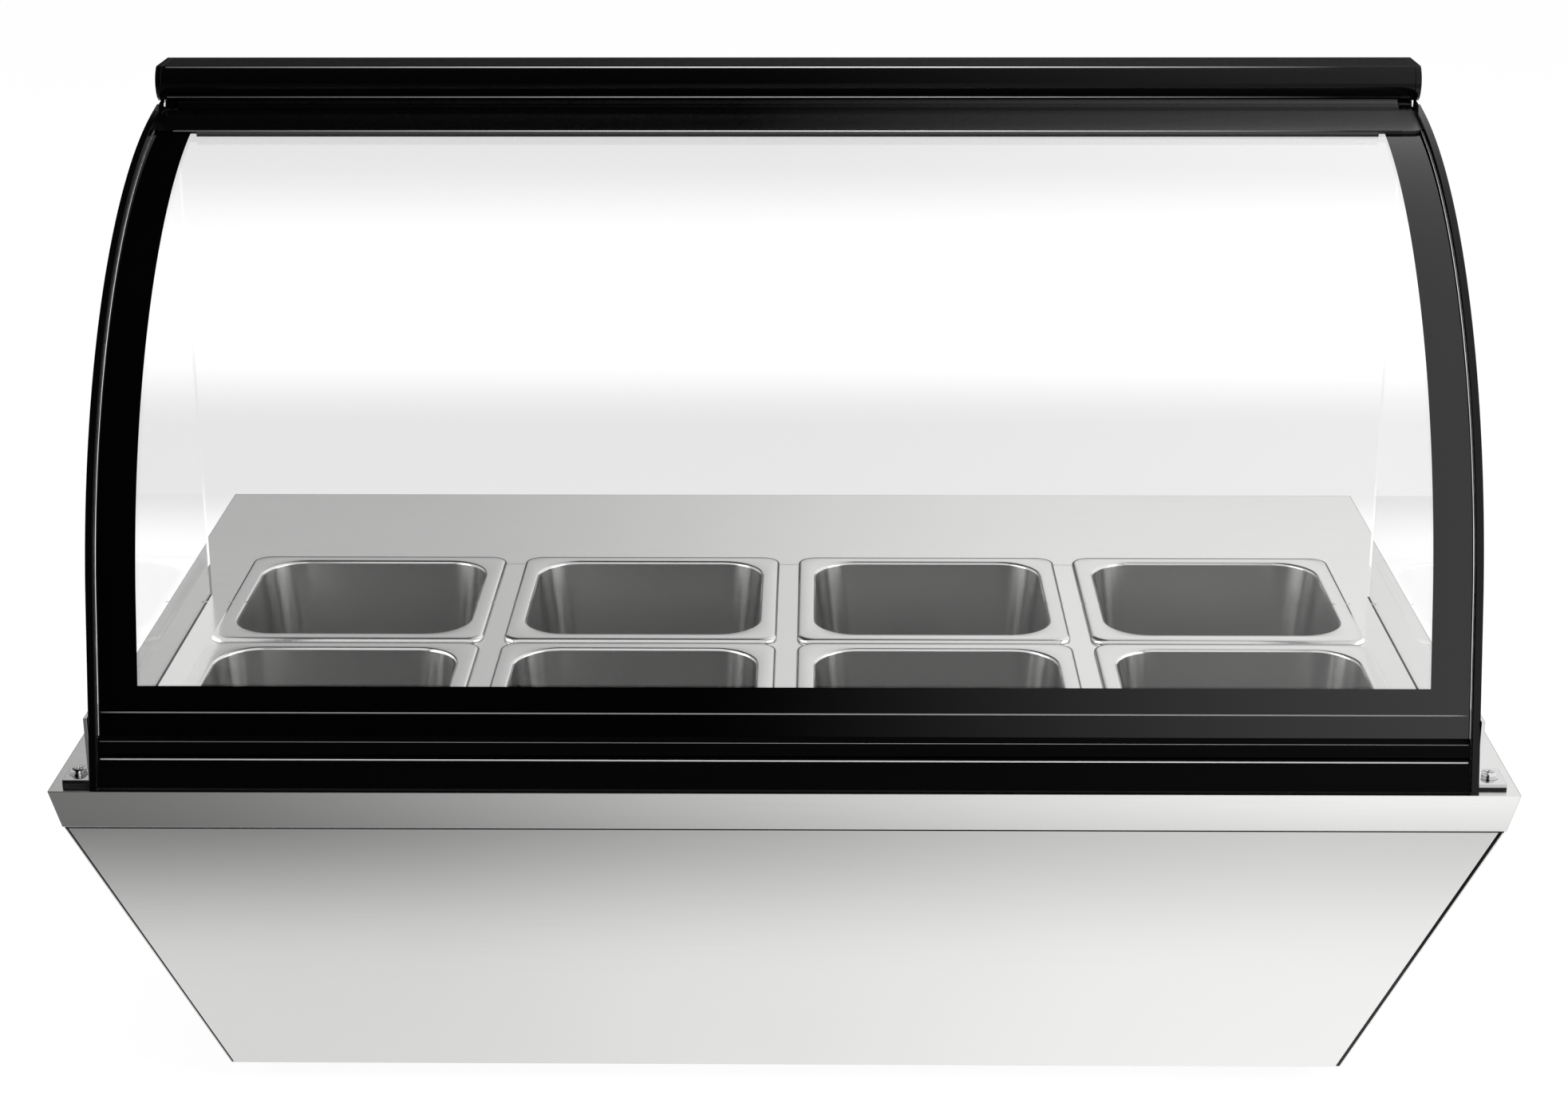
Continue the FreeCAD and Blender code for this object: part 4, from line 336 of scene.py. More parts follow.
# Moulded ABS housings and fan: semi-gloss with a fine spark-eroded grain.
BLACK_PLASTIC = Finish("Moulded_black_ABS", "#0b0b0b", (0.2, 0.3), marks=(0.5, 0.5, 0.5),
                       relief=0.08, relief_depth=0.02, edge_round=0.5)
# The same ABS with a deeper grain, which keeps the knob dull.
KNOB_PLASTIC = Finish("Textured_black_ABS_knob", "#161616", (0.38, 0.5),
                      marks=(0.4, 0.4, 0.4), relief=0.2, relief_depth=0.03)
# The rocker comes out of a polished mould: glossy, with a faint ripple.
ROCKER_PLASTIC = Finish("Gloss_black_polycarbonate_rocker", "#1a1a1a", (0.1, 0.18),
                        relief=0.03)
# Nitrile rubber feet and seals: matt, slightly grey where it has been handled.
BLACK_RUBBER = Finish("Matt_black_nitrile_rubber", "#141414", (0.6, 0.8),
                      marks=(1.2, 1.2, 1.2), relief=0.2, shade="#1f1f1f", shade_size=20.0)
# Painted shade: black strips in the casing's gaps, where the shadow falls, with a dull skin.
SHADOW_GAP_BLACK = Finish("Black_painted_shadow_gap", "#060606", (0.35, 0.5), marks=(4.0, 4.0, 4.0),
                  specular=0.15)
# Soft sponge gasket that shows dark grey under the strip.
SPONGE_RUBBER = Finish("Dark_grey_sponge_gasket", "#2a2a2a", (0.55, 0.7),
                       marks=(0.8, 0.8, 0.8), relief=0.25)
# Rigid polyurethane, foamed in place: cream, with closed cells of about 1 mm.
WHITE_FOAM = Finish("Rigid_polyurethane_foam", "#e6dfc8", (0.8, 0.95), marks=(1.4, 1.4, 1.4),
                    relief=0.5, relief_depth=0.3, shade="#d9cfae", shade_size=35.0)
# Compressor can and motor: satin black enamel over pressed steel.
BLACK_ENAMEL = Finish("Satin_black_enamelled_steel", "#101011", (0.3, 0.42),
                      marks=(2.0, 2.0, 2.0), relief=0.06, sockets=(("Coat Weight", 0.2),))
# Bright drawn refrigeration copper, browned a little near its brazed ends.
COPPER = Finish("Bright_drawn_copper", "#c98a62", (0.18, 0.32), metallic=1.0,
                marks=(4.0, 4.0, 4.0), relief=0.04, shade="#a8643f", shade_size=50.0)
# Condenser fins: thin mill-finished aluminium, pale and finely streaked.
FIN_ALUMINIUM = Finish("Mill_finish_aluminium_fins", "#c4c6c8", (0.3, 0.45), metallic=1.0,
                       marks=(2.0, 2.0, 12.0))
# Black ceramic enamel fired on the outer face of the pane: dense, and as glossy as the glass.
CERAMIC_PRINT = Finish("Fired_black_ceramic_print", "#030303", (0.02, 0.04),
                       marks=(60.0, 60.0, 60.0), relief=0.0)
# Painted highlights: fine pale lines where the foot's edges catch the light, pale from every side.
BRIGHT_HIGHLIGHT_LINE = Finish("Painted_bright_highlight_line", "#c4c4c4", (0.5, 0.6), marks=(30.0, 0.5, 0.5),
                     relief=0.02, specular=0.3)
# The same painted highlight, a dimmer grey.
DIM_HIGHLIGHT_LINE = Finish("Painted_grey_highlight_line", "#8a8a8a", (0.5, 0.6), marks=(30.0, 0.5, 0.5),
                    relief=0.02, specular=0.3)
# Painted highlight on the edges of strip and bar: pale along the middle, black enamel towards the
# ends.
EDGE_HIGHLIGHT_LINE = PaintedLightAcross("Painted_edge_highlight", "#d8d8d8", (0.5, 0.6), marks=(30.0, 0.5, 0.5),
                     relief=0.02, shade="#0c0c0c", specular=0.3)
# The side glasses are coated against glare, so that next to nothing mirrors in them.
COATED_GLASS = Glazing("Anti_glare_coated_glass", "#fefefe", (0.0, 0.004),
                       marks=(90.0, 90.0, 90.0), relief=0.0,
                       sockets=(("Transmission Weight", 1.0), ("IOR", 1.06)))
# Low-iron tempered glass with polished edges: colourless, with a clean mirror on its face.
CLEAR_GLASS = Glazing("Tempered_clear_glass", "#fefefe", (0.0, 0.004), marks=(90.0, 90.0, 90.0),
                      relief=0.0, sockets=(("Transmission Weight", 1.0), ("IOR", 1.5)))

Dressing = tuple[tuple[Finish, tuple[str, ...]], ...]


@dataclass
class Assembly:
    """A sub-assembly: what its carried-over nodes are made of, and the pieces new to it."""

    dressing: Dressing = ()

    def build(self) -> None:
        """Dresses the carried-over nodes, then makes the new pieces."""
        for finish, names in self.dressing:
            for name in names:
                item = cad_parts[name]
                if not item.material_slots:
                    item.data.materials.append(None)
                for place in item.material_slots:
                    place.material = finish.material()
                LOG.info("node %s: %s", name, finish.name)
        self.make()

    def make(self) -> None:
        """Makes the new pieces, of which there are none unless a sub-assembly says so."""


# ---- Mesh helpers ----------------------------------------

CREASE = 35.0        # degrees: a sharper fold than this is shaded as an edge
LINE_THICK = 0.06    # millimetres


def finish_piece(name: str, bm: BMesh, finish: Finish, body: str) -> bpy.types.Object:
    """Turns a bmesh into a piece of the object, at the origin, riding on its body.

    Args:
        name: the piece's name.
        bm: its mesh in the row frame, freed here.
        finish: its material.
        body: the body that it moves with.

    Returns:
        The new object.
    """
    mesh = bpy.data.meshes.new(name)
    bm.to_mesh(mesh)
    bm.free()
    mesh.materials.append(finish.material())
    mesh.shade_smooth()
    mesh.set_sharp_from_angle(angle=math.radians(CREASE))
    piece = bpy.data.objects.new(name, mesh)
    bpy.context.scene.collection.objects.link(piece)
    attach(piece, body)
    LOG.info("piece %s: %d faces on %s", name, len(mesh.polygons), body)
    return piece


def only(made: Iterable, kind: type) -> list:
    """The vertices, the edges or the faces among what an operator made."""
    return [item for item in made if isinstance(item, kind)]


def drawn(bm: BMesh, edges: list[Edge]) -> tuple[list[Edge], list[Vert], list[Face]]:
    """Extrudes a row of edges, and leaves the new row where the old one is.

    Args:
        bm: the mesh.
        edges: the row.

    Returns:
        The new row's edges and vertices, and the faces between the rows.
    """
    made = bmesh.ops.extrude_edge_only(bm, edges=edges)["geom"]
    verts = only(made, Vert)
    row = [edge for edge in only(made, Edge) if all(vert in verts for vert in edge.verts)]
    return row, verts, only(made, Face)


@dataclass(frozen=True)
class Ring:
    """One level ring of a rounded rectangular dish, in millimetres."""

    inset: float
    level: float
    corner: float


def rounded_ring(bm: BMesh, width: float, depth: float, ring: Ring, segments: int) -> list[Edge]:
    """A level rectangle with rounded corners, as a loop of edges about the origin.

    Args:
        bm: the mesh it goes in.
        width: the dish's size along x in millimetres.
        depth: its size along y in millimetres.
        ring: how far in, how high and how round the loop is.
        segments: how many edges make one corner.

    Returns:
        The loop's edges.
    """
    corners = bmesh.ops.create_grid(bm, x_segments=1, y_segments=1, size=0.5)["verts"]
    bmesh.ops.scale(bm, verts=corners, vec=((width - 2 * ring.inset) * MM,
                                            (depth - 2 * ring.inset) * MM, 1.0))
    bmesh.ops.translate(bm, verts=corners, vec=(0.0, 0.0, ring.level * MM))
    bmesh.ops.bevel(bm, geom=corners, offset=ring.corner * MM, affect="VERTICES",
                    segments=segments, profile=0.5, material=-1)
    bm.faces.ensure_lookup_table()
    face = bm.faces[-1]
    loop = list(face.edges)
    bmesh.ops.delete(bm, geom=[face], context="FACES_ONLY")
    return loop


def next_ring(bm: BMesh, loop: list[Edge], width: float, depth: float, was: Ring,
              now: Ring) -> list[Edge]:
    """Extrudes a ring to the next one, each corner about its own centre.

    Args:
        bm: the mesh.
        loop: the edges of the ring that is there.
        width: the dish's size along x in millimetres.
        depth: its size along y in millimetres.
        was: the ring that is there.
        now: the ring to make.

    Returns:
        The new ring's edges.
    """
    loop, verts, _ = drawn(bm, loop)
    grow = now.corner / was.corner
    for right, back in product((-1, 1), (-1, 1)):
        corner = [vert for vert in verts if vert.co.x * right > 0 and vert.co.y * back > 0]
        here, there = [Vector((right * (width / 2 - ring.inset - ring.corner),
                               back * (depth / 2 - ring.inset - ring.corner),
                               ring.level)) * MM for ring in (was, now)]
        bmesh.ops.scale(bm, verts=corner, vec=(grow, grow, 1.0),
                        space=Matrix.Translation(-here))
        bmesh.ops.translate(bm, verts=corner, vec=there - here)
    return loop


def extruded(bm: BMesh, outline: Sequence[Pair], half: float) -> None:
    """Draws a closed outline out along x, as far to the left of the middle as to the right.

    Args:
        bm: the mesh it goes in.
        outline: the section's (y, z) points in the deck's millimetres.
        half: how far it reaches to each side in millimetres.
    """
    face = bm.faces.new([bm.verts.new(on_deck(-half, y, z)) for y, z in outline])
    made = bmesh.ops.extrude_face_region(bm, geom=[face], use_keep_orig=True)["geom"]
    bmesh.ops.translate(bm, verts=only(made, Vert), vec=(2 * half * MM, 0.0, 0.0))
    bmesh.ops.recalc_face_normals(bm, faces=bm.faces)


def turned(bm: BMesh, outline: Sequence[Pair], steps: int) -> None:
    """Turns an outline of (radius, height) points in millimetres about the z axis.

    Args:
        bm: an empty mesh that takes the turned shape.
        outline: the half section, from the axis round to the axis.
        steps: how many flats go round.
    """
    verts = [bm.verts.new((radius * MM, 0.0, level * MM)) for radius, level in outline]
    edges = [bm.edges.new(pair) for pair in zip(verts, verts[1:])]
    bmesh.ops.spin(bm, geom=verts + edges, cent=(0, 0, 0), axis=(0, 0, 1), dvec=(0, 0, 0),
                   angle=math.tau, steps=steps, use_merge=True, use_duplicate=False)
    bmesh.ops.remove_doubles(bm, verts=bm.verts, dist=NEAR)
    bmesh.ops.recalc_face_normals(bm, faces=bm.faces)


def stripe(name: str, edge: tuple[Triple, Triple], travel: Triple, finish: Finish, body: Body) -> None:
    """A flat line a hair thick: an edge drawn out to its far side.

    Args:
        name: its name.
        edge: the edge's two ends in the deck's millimetres.
        travel: how far the edge is drawn out.
        finish: its material.
        body: the body it moves with.
    """
    bm = bmesh.new()
    start = bm.edges.new([bm.verts.new(on_deck(*spot)) for spot in edge])
    _, far, _ = drawn(bm, [start])
    bmesh.ops.translate(bm, verts=far, vec=Vector(travel) * MM)
    bmesh.ops.recalc_face_normals(bm, faces=bm.faces)
    piece = finish_piece(name, bm, finish, body.value)
    layer = piece.modifiers.new("layer", "SOLIDIFY")
    layer.thickness = LINE_THICK * MM
    layer.offset = 0.0


# ---- Casing ----------------------------------------------

@dataclass
class Casing(Assembly):
    """The folded steel body: deck, leaning sides, louvred rear and the tray below.

    The painted shade strips' sizes are in the deck's millimetres. The strips down the seams sink
    away behind the panel towards its foot; the right one is wider, where more shade is painted.
    """

    dressing: Dressing = (
        (COUNTER_STEEL, ("counter_top", "divider_left", "divider_centre", "divider_right")),
        (PANEL_STEEL, ("front_panel", "side_panel_left", "side_panel_right", "rear_panel")),
        (TRAY_STEEL, ("base_tray", "compartment_wall")),
        (LINER_STEEL, ("well_liner",)),
        (WHITE_FOAM, ("foam_insulation",)))
    joint_half: float = 405.5
    joint_level: Pair = (-24.95, -24.05)
    joint_depth: Pair = (5.4, 8.0)
    seam_top: Triple = (404.9, 6.15, -25.3)
    seam_foot: Triple = (336.9, 74.25, -212.4)
    seam_widths: tuple[tuple[str, int, float], ...] = (("seam_shadow_strip_left", -1, 0.9),
                                                       ("seam_shadow_strip_right", 1, 2.2))

    def make(self) -> None:
        """Lays black strips of painted shade in the gaps under the rim and down the panel's slanting
        sides.
        """
        bm = bmesh.new()
        (low, high), (near, far) = self.joint_level, self.joint_depth
        extruded(bm, [(near, low), (near, high), (far, high), (far, low)], self.joint_half)
        # a black strip of painted shade in the gap under the rim
        finish_piece("rim_shadow_strip", bm, SHADOW_GAP_BLACK, Body.CABINET.value)
        top, foot = Vector(self.seam_top), Vector(self.seam_foot)
        # black strips of painted shade down the side gaps, wider where the shade is deeper
        for name, side, width in self.seam_widths:
            flip = Vector((side, 1, 1))
            inner = top - Vector((width, 0, 0))
            stripe(name, (tuple(top * flip), tuple(inner * flip)), tuple((foot - top) * flip),
                   SHADOW_GAP_BLACK, Body.CABINET)


@dataclass
class PanSet(Assembly):
    """Eight deep-drawn lift-out pans with a rounded rim, in millimetres."""

    pans: int = 8
    width: float = 176.0
    depth: float = 162.0
    lip: float = 3.0
    drop: float = 97.0
    sheet: float = 0.8
    mouth_inset: float = 12.5
    mouth_corner: float = 27.0
    mouth_round: float = 2.0
    mouth_slack: float = 0.5
    rim_inset: float = 0.6
    rim_corner: float = 10.0
    rim_round: float = 2.6
    rim_foot: float = 0.25
    draw: float = 11.0
    heel: float = 12.0
    floor_corner: float = 14.0
    floor_inset: float = 14.0
    floor_round: float = 8.0
    wall_parts: Triple = (0.33, 0.67, 1.0)
    wall_change: float = 0.5
    corner_steps: int = 10
    round_steps: int = 5

    def quarter(self) -> list[Pair]:
        """The sine and one less the cosine of each step round a quarter turn."""
        turns = [math.pi / 2 * step / self.round_steps for step in range(1, self.round_steps + 1)]
        return [(math.sin(turn), 1 - math.cos(turn)) for turn in turns]

    def rings(self) -> list[Ring]:
        """Works out the pan's section, ring by ring.

        Returns:
            The rings from the rim's lower edge, over the flange, down to the floor.
        """
        edge, mouth, top = self.rim_inset, self.mouth_inset, self.lip
        found = [Ring(edge, self.rim_foot, self.rim_corner),
                 Ring(edge, top - self.rim_round, self.rim_corner)]
        found += [Ring(edge + self.rim_round * rest, top - self.rim_round * (1 - sine),
                       self.rim_corner) for sine, rest in self.quarter()]
        lead = mouth - self.mouth_round
        found.append(Ring(lead, top, self.mouth_corner + self.mouth_round))
        found += [Ring(lead + self.mouth_round * sine, top - self.mouth_round * rest,
                       self.mouth_corner + self.mouth_round * (1 - sine))
                  for sine, rest in self.quarter()]
        floor = self.sheet - self.drop
        foot, lip_end = floor + self.heel, top - self.mouth_round
        change = (self.floor_corner - self.mouth_corner) * self.wall_change
        found += [Ring(mouth + self.draw * part, lip_end + (foot - lip_end) * part,
                       self.mouth_corner + change * part) for part in self.wall_parts]
        last = found[-1]
        found += [Ring(last.inset + self.heel * rest, foot - self.heel * sine,
                       last.corner + (self.floor_corner - last.corner) * sine)
                  for sine, rest in self.quarter()]
        return found + [Ring(found[-1].inset + self.floor_inset, floor, self.floor_round)]

    def shell(self) -> BMesh:
        """Draws one pan's upper surface about the middle of its rim, level with the deck.

        Returns:
            The surface, without the sheet's thickness.
        """
        bm = bmesh.new()
        rings = self.rings()
        loop = rounded_ring(bm, self.width, self.depth, rings[0], self.corner_steps)
        for was, now in zip(rings, rings[1:]):
            loop = next_ring(bm, loop, self.width, self.depth, was, now)
        floor = bmesh.ops.contextual_create(bm, geom=loop)["faces"]
        bmesh.ops.recalc_face_normals(bm, faces=bm.faces)
        if floor[0].normal.z < 0:
            bmesh.ops.reverse_faces(bm, faces=bm.faces)
        return bm

    def shade_inside(self, mesh: bpy.types.Mesh, middle: float) -> None:
        """Gives the faces below the mouth the darker, duller copy of the steel: painted shade inside.

        Args:
            mesh: the pan's mesh.
            middle: the x of the pan's middle in metres.
        """
        mesh.materials.append(PAN_INSIDE_SHADED.material())
        mouth = DECK.z + (self.lip - self.mouth_round) * MM + NEAR
        edge = (self.width / 2 - self.mouth_inset + self.mouth_slack) * MM
        for face in mesh.polygons:
            corners = [mesh.vertices[place].co for place in face.vertices]
            if all(spot.z < mouth and abs(spot.x - middle) < edge for spot in corners):
                face.material_index = 1

    def make(self) -> None:
        """Makes the pans, each in place of its plain node."""
        model = self.shell()
        for number in range(1, self.pans + 1):
            low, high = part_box(f"pan_{number}")
            middle = Vector(((low.x + high.x) / 2, (low.y + high.y) / 2, DECK.z))
            bm = model.copy()
            bmesh.ops.translate(bm, verts=bm.verts, vec=middle)
            piece = finish_piece(f"food_pan_{number}", bm, PAN_STEEL,
                                 f"lift_out_pan_{number}")
            # the darker inside of the pan is painted shade
            self.shade_inside(piece.data, middle.x)
            wall = piece.modifiers.new("sheet", "SOLIDIFY")
            wall.thickness = self.sheet * MM
            wall.offset = -1.0
            wall.use_even_offset = True
            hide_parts(f"pan_{number}")
        model.free()


# ---- Glass -----------------------------------------------

@dataclass(frozen=True)
class FineLine:
    """A painted highlight: a fine pale line across the pane's straight foot.

    Its run up the slope, its width and its depth in from the outer face are in millimetres.
    """

    name: str
    run: float
    width: float
    depth: float
    finish: Finish


@dataclass
class Canopy(Assembly):
    """The curved pane with its fired black border, and the extrusions round it.

    Lengths are in millimetres. The lean, the slope, the window's top and the ends and grip of
    the strip and gasket are slopes of the pane in degrees. The strip's painted edge highlight is
    given by turns past the strip's end and depths below its face, the bar's by (y, z) points.
    """

    dressing: Dressing = (
        (CLEAR_GLASS, ("front_pane",)),
        (COATED_GLASS, ("side_glass_left", "side_glass_right")),
        (BLACK_ALUMINIUM, ("top_bar", "clamp_strip", "side_trim_left", "side_trim_right",
                           "bar_clips", "end_cap_left", "end_cap_right")),
        (MATT_ALUMINIUM, ("bottom_profile",)),
        (SPONGE_RUBBER, ("strip_gasket",)),
        (BLACK_RUBBER, ("sill_gasket", "bracket_pads")),
        (POLISHED_STEEL, ("foot_bracket_left", "foot_bracket_right")))
    foot: float = 6.0
    lean: float = 76.0
    straight: float = 105.0
    radius: float = 305.0
    slope: float = 10.0
    thick: float = 5.0
    bend_steps: int = 48
    arc_step: float = 0.6
    print_depth: float = -0.06
    print_thick: float = 0.04
    print_half: float = 383.75
    print_start: float = 3.6
    window_half: float = 361.5
    window_foot: float = 56.0
    window_top: float = 13.8
    strip_half: float = 383.9
    strip_sheet: float = 2.0
    strip_end: float = 14.4
    strip_grip: float = 12.2
    strip_corner: float = 6.0
    corner_steps: int = 8
    strip_start: float = 8.3
    neck: float = 0.8
    neck_half: float = 375.0
    bead_run: float = 15.9
    bead_rise: float = 4.0
    bead_radius: float = 3.0
    bead_steps: int = 24
    gasket_end: float = 15.15
    gasket_thick: float = 1.6
    gasket_half: float = 357.0
    line_half: float = 382.5
    foot_lines: tuple[FineLine, ...] = (
        FineLine("print_highlight_line", 42.3, 0.8, -0.16, DIM_HIGHLIGHT_LINE),
        FineLine("foot_line_upper", 26.6, 0.3, -3.54, DIM_HIGHLIGHT_LINE),
        FineLine("foot_line_lower", 16.3, 0.8, -3.54, BRIGHT_HIGHLIGHT_LINE))
    strip_edge: tuple[Pair, Pair] = ((0.12, 0.3), (-0.08, -0.05))
    bar_edges: tuple[tuple[str, Pair, Pair], ...] = (
        ("bar_line_lower", (287.76, 338.93), (287.42, 339.72)),
        ("bar_line_upper", (289.2, 357.1), (289.85, 357.75)))

    def along(self, run: float, depth: float) -> Pair:
        """A place on the pane's straight foot.

        Args:
            run: distance up the slope in millimetres.
            depth: distance in from the outer face.

        Returns:
            Its y and z in the deck's millimetres.
        """
        lean = math.radians(self.lean)
        return (self.foot + run * math.cos(lean) + depth * math.sin(lean),
                run * math.sin(lean) - depth * math.cos(lean))

    def centre(self) -> Vector:
        """Finds the middle of the pane's bend.

        Returns:
            The place in the row frame, in metres.
        """
        lean = math.radians(self.lean)
        rise_y, rise_z = self.along(self.straight, 0.0)
        return on_deck(0.0, rise_y + self.radius * math.sin(lean),
                       rise_z - self.radius * math.cos(lean))

    def on_bend(self, turn: float, depth: float) -> Pair:
        """A place on the pane's bend.

        Args:
            turn: the slope there in degrees.
            depth: distance in from the outer face in millimetres.

        Returns:
            Its y and z in the deck's millimetres.
        """
        middle = (self.centre() - DECK) / MM
        reach, angle = self.radius - depth, math.radians(turn)
        return middle.y - reach * math.sin(angle), middle.z + reach * math.cos(angle)

    def on_tail(self, run: float, depth: float) -> Pair:
        """A place on the pane's straight upper edge.

        Args:
            run: distance up from the end of the bend in millimetres.
            depth: distance in from the outer face.

        Returns:
            Its y and z in the deck's millimetres.
        """
        y, z = self.on_bend(self.slope, depth)
        slope = math.radians(self.slope)
        return y + run * math.cos(slope), z + run * math.sin(slope)

    def arc(self, start: float, end: float, depth: float) -> list[Pair]:
        """Places round the pane's bend, from one slope to another at the same depth."""
        steps = max(2, round(abs(end - start) / self.arc_step))
        return [self.on_bend(start + (end - start) * step / steps, depth)
                for step in range(steps + 1)]

    def climb(self, bm: BMesh, edges: list[Edge], run: float) -> tuple[list[Edge], list[Face]]:
        """Extrudes a row of edges up the straight part of the pane.

        Args:
            bm: the mesh.
            edges: the row.
            run: how far it goes up the slope in millimetres.

        Returns:
            The new row of edges and the faces between the rows.
        """
        row, verts, faces = drawn(bm, edges)
        lean = math.radians(self.lean)
        bmesh.ops.translate(bm, verts=verts,
                            vec=(0.0, run * math.cos(lean) * MM, run * math.sin(lean) * MM))
        return row, faces

    def bend(self, bm: BMesh, edges: list[Edge], start: float,
             end: float) -> tuple[list[Edge], list[Face]]:
        """Spins a row of edges round the pane's bend.

        Args:
            bm: the mesh.
            edges: the row.
            start: the slope at which it starts in degrees.
            end: the slope at which it ends.

        Returns:
            The last row of edges and the faces made.
        """
        before = set(bm.faces)
        steps = max(2, round(self.bend_steps * (start - end) / (self.lean - self.slope)))
        last = bmesh.ops.spin(bm, geom=edges, cent=self.centre(), axis=(1, 0, 0),
                              dvec=(0, 0, 0), angle=-math.radians(start - end), steps=steps,
                              use_merge=False, use_duplicate=False)["geom_last"]
        return only(last, Edge), [face for face in bm.faces if face not in before]

    def build_print(self) -> None:
        """The black border, a thin layer on the pane's outer face."""
        bm = bmesh.new()
        y, z = self.along(self.print_start, self.print_depth)
        spots = (-self.print_half, -self.window_half, self.window_half, self.print_half)
        verts = [bm.verts.new(on_deck(x, y, z)) for x in spots]
        row = [bm.edges.new(pair) for pair in zip(verts, verts[1:])]
        window_run = self.window_foot / math.sin(math.radians(self.lean))
        row, _ = self.climb(bm, row, window_run - self.print_start)
        row, straight = self.climb(bm, row, self.straight - window_run)
        row, curved = self.bend(bm, row, self.lean, self.window_top)
        self.bend(bm, row, self.window_top, self.slope)
        clear = [face for face in straight + curved
                 if abs(face.calc_center_median().x) < self.window_half * MM / 2]
        bmesh.ops.delete(bm, geom=clear, context="FACES")
        bmesh.ops.recalc_face_normals(bm, faces=bm.faces)
        bmesh.ops.solidify(bm, geom=bm.faces, thickness=self.print_thick * MM)
        finish_piece("window_print", bm, CERAMIC_PRINT, Body.FRONT_GLASS.value)

    def bead(self) -> list[Pair]:
        """Draws the section of the strip's hinge bead, open where the neck joins it.

        Returns:
            Its (y, z) points, from the neck's lower side round to its upper side.
        """
        half = math.asin(self.neck / self.bead_radius)
        turns = [-(math.pi - half) + (math.tau - 2 * half) * step / self.bead_steps
                 for step in range(self.bead_steps + 1)]
        return [self.on_tail(self.bead_run + self.bead_radius * math.cos(turn),
                             -self.bead_rise + self.bead_radius * math.sin(turn))
                for turn in turns]

    def tip_corners(self, bm: BMesh) -> list[Edge]:
        """Finds the short edges through the sheet at the strip's two lower corners.

        Args:
            bm: the strip's mesh, before its corners are rounded.

        Returns:
            The edges.
        """
        tip = [on_deck(0.0, *self.on_bend(self.strip_end, depth))
               for depth in (-self.strip_sheet, 0.0)]
        return [edge for edge in bm.edges
                if abs(edge.verts[0].co.x - edge.verts[1].co.x) < NEAR
                and all(min((vert.co.yz - spot.yz).length for spot in tip) < NEAR
                        for vert in edge.verts)]

    def build_strip(self) -> None:
        """The clamp strip: its grip on the pane, its shoulder, neck and hinge bead."""
        metal, glass, start = self.strip_sheet, self.thick, self.strip_start
        shoulder = self.on_tail(start + metal, -metal)
        bm = bmesh.new()
        extruded(bm, [self.on_tail(start, -metal),
                      self.on_tail(start, -self.bead_rise - self.neck), *self.bead(),
                      self.on_tail(start + metal, -self.bead_rise + self.neck), shoulder],
                 self.neck_half)
        extruded(bm, [*self.arc(self.strip_end, self.slope, -metal), shoulder,
                      self.on_tail(start + metal, glass + metal),
                      *self.arc(self.slope, self.strip_grip, glass + metal),
                      *self.arc(self.strip_grip, self.slope, glass),
                      self.on_tail(start, glass), self.on_tail(start, 0.0),
                      *self.arc(self.slope, self.strip_end, 0.0)], self.strip_half)
        bmesh.ops.bevel(bm, geom=self.tip_corners(bm), offset=self.strip_corner * MM,
                        affect="EDGES", segments=self.corner_steps, profile=0.5, material=-1)
        # its grey towards the right end is a painted reflection
        piece = finish_piece("clamp_strip_visual", bm, STRIP_ENAMEL,
                             Body.FRONT_GLASS.value)
        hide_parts("clamp_strip")

    def build_gasket(self) -> None:
        """The soft bead that shows under the strip's lower edge."""
        bm = bmesh.new()
        extruded(bm, self.arc(self.gasket_end, self.strip_end, -self.gasket_thick)
                 + self.arc(self.strip_end, self.gasket_end, 0.0), self.gasket_half)
        piece = finish_piece("strip_gasket_visual", bm, SPONGE_RUBBER,
                             Body.FRONT_GLASS.value)
        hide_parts("strip_gasket")

    def line(self, name: str, ends: Sequence[Pair], half: float, finish: Finish,
             body: Body) -> None:
        """A painted highlight: a fine line across the front.

        Args:
            name: its name.
            ends: the y and z of its lower and upper edge in the deck's millimetres.
            half: how far it reaches to each side of the middle.
            finish: its material.
            body: the body it moves with.
        """
        (y, z), (upper_y, upper_z) = ends
        stripe(name, ((-half, y, z), (half, y, z)), (0.0, upper_y - y, upper_z - z),
               finish, body)

    def build_lines(self) -> None:
        """Painted highlights: the fine lines of the print and the foot, and the edges of strip and
        bar.
        """
        for line in self.foot_lines:
            self.line(line.name, (self.along(line.run, line.depth),
                                  self.along(line.run + line.width, line.depth)),
                      self.line_half, line.finish, Body.FRONT_GLASS)
        self.line("strip_line", [self.on_bend(self.strip_end + turn, depth - self.strip_sheet)
                                 for turn, depth in self.strip_edge],
                  self.strip_half - 2 * self.strip_corner, EDGE_HIGHLIGHT_LINE, Body.FRONT_GLASS)
        for name, *ends in self.bar_edges:
            self.line(name, ends, self.line_half, EDGE_HIGHLIGHT_LINE, Body.CABINET)

    def make(self) -> None:
        """Adds the print, the strip, its gasket and the fine lines."""
        self.build_print()
        self.build_strip()
        self.build_gasket()
        self.build_lines()


# ---- Fasteners and feet ----------------------------------

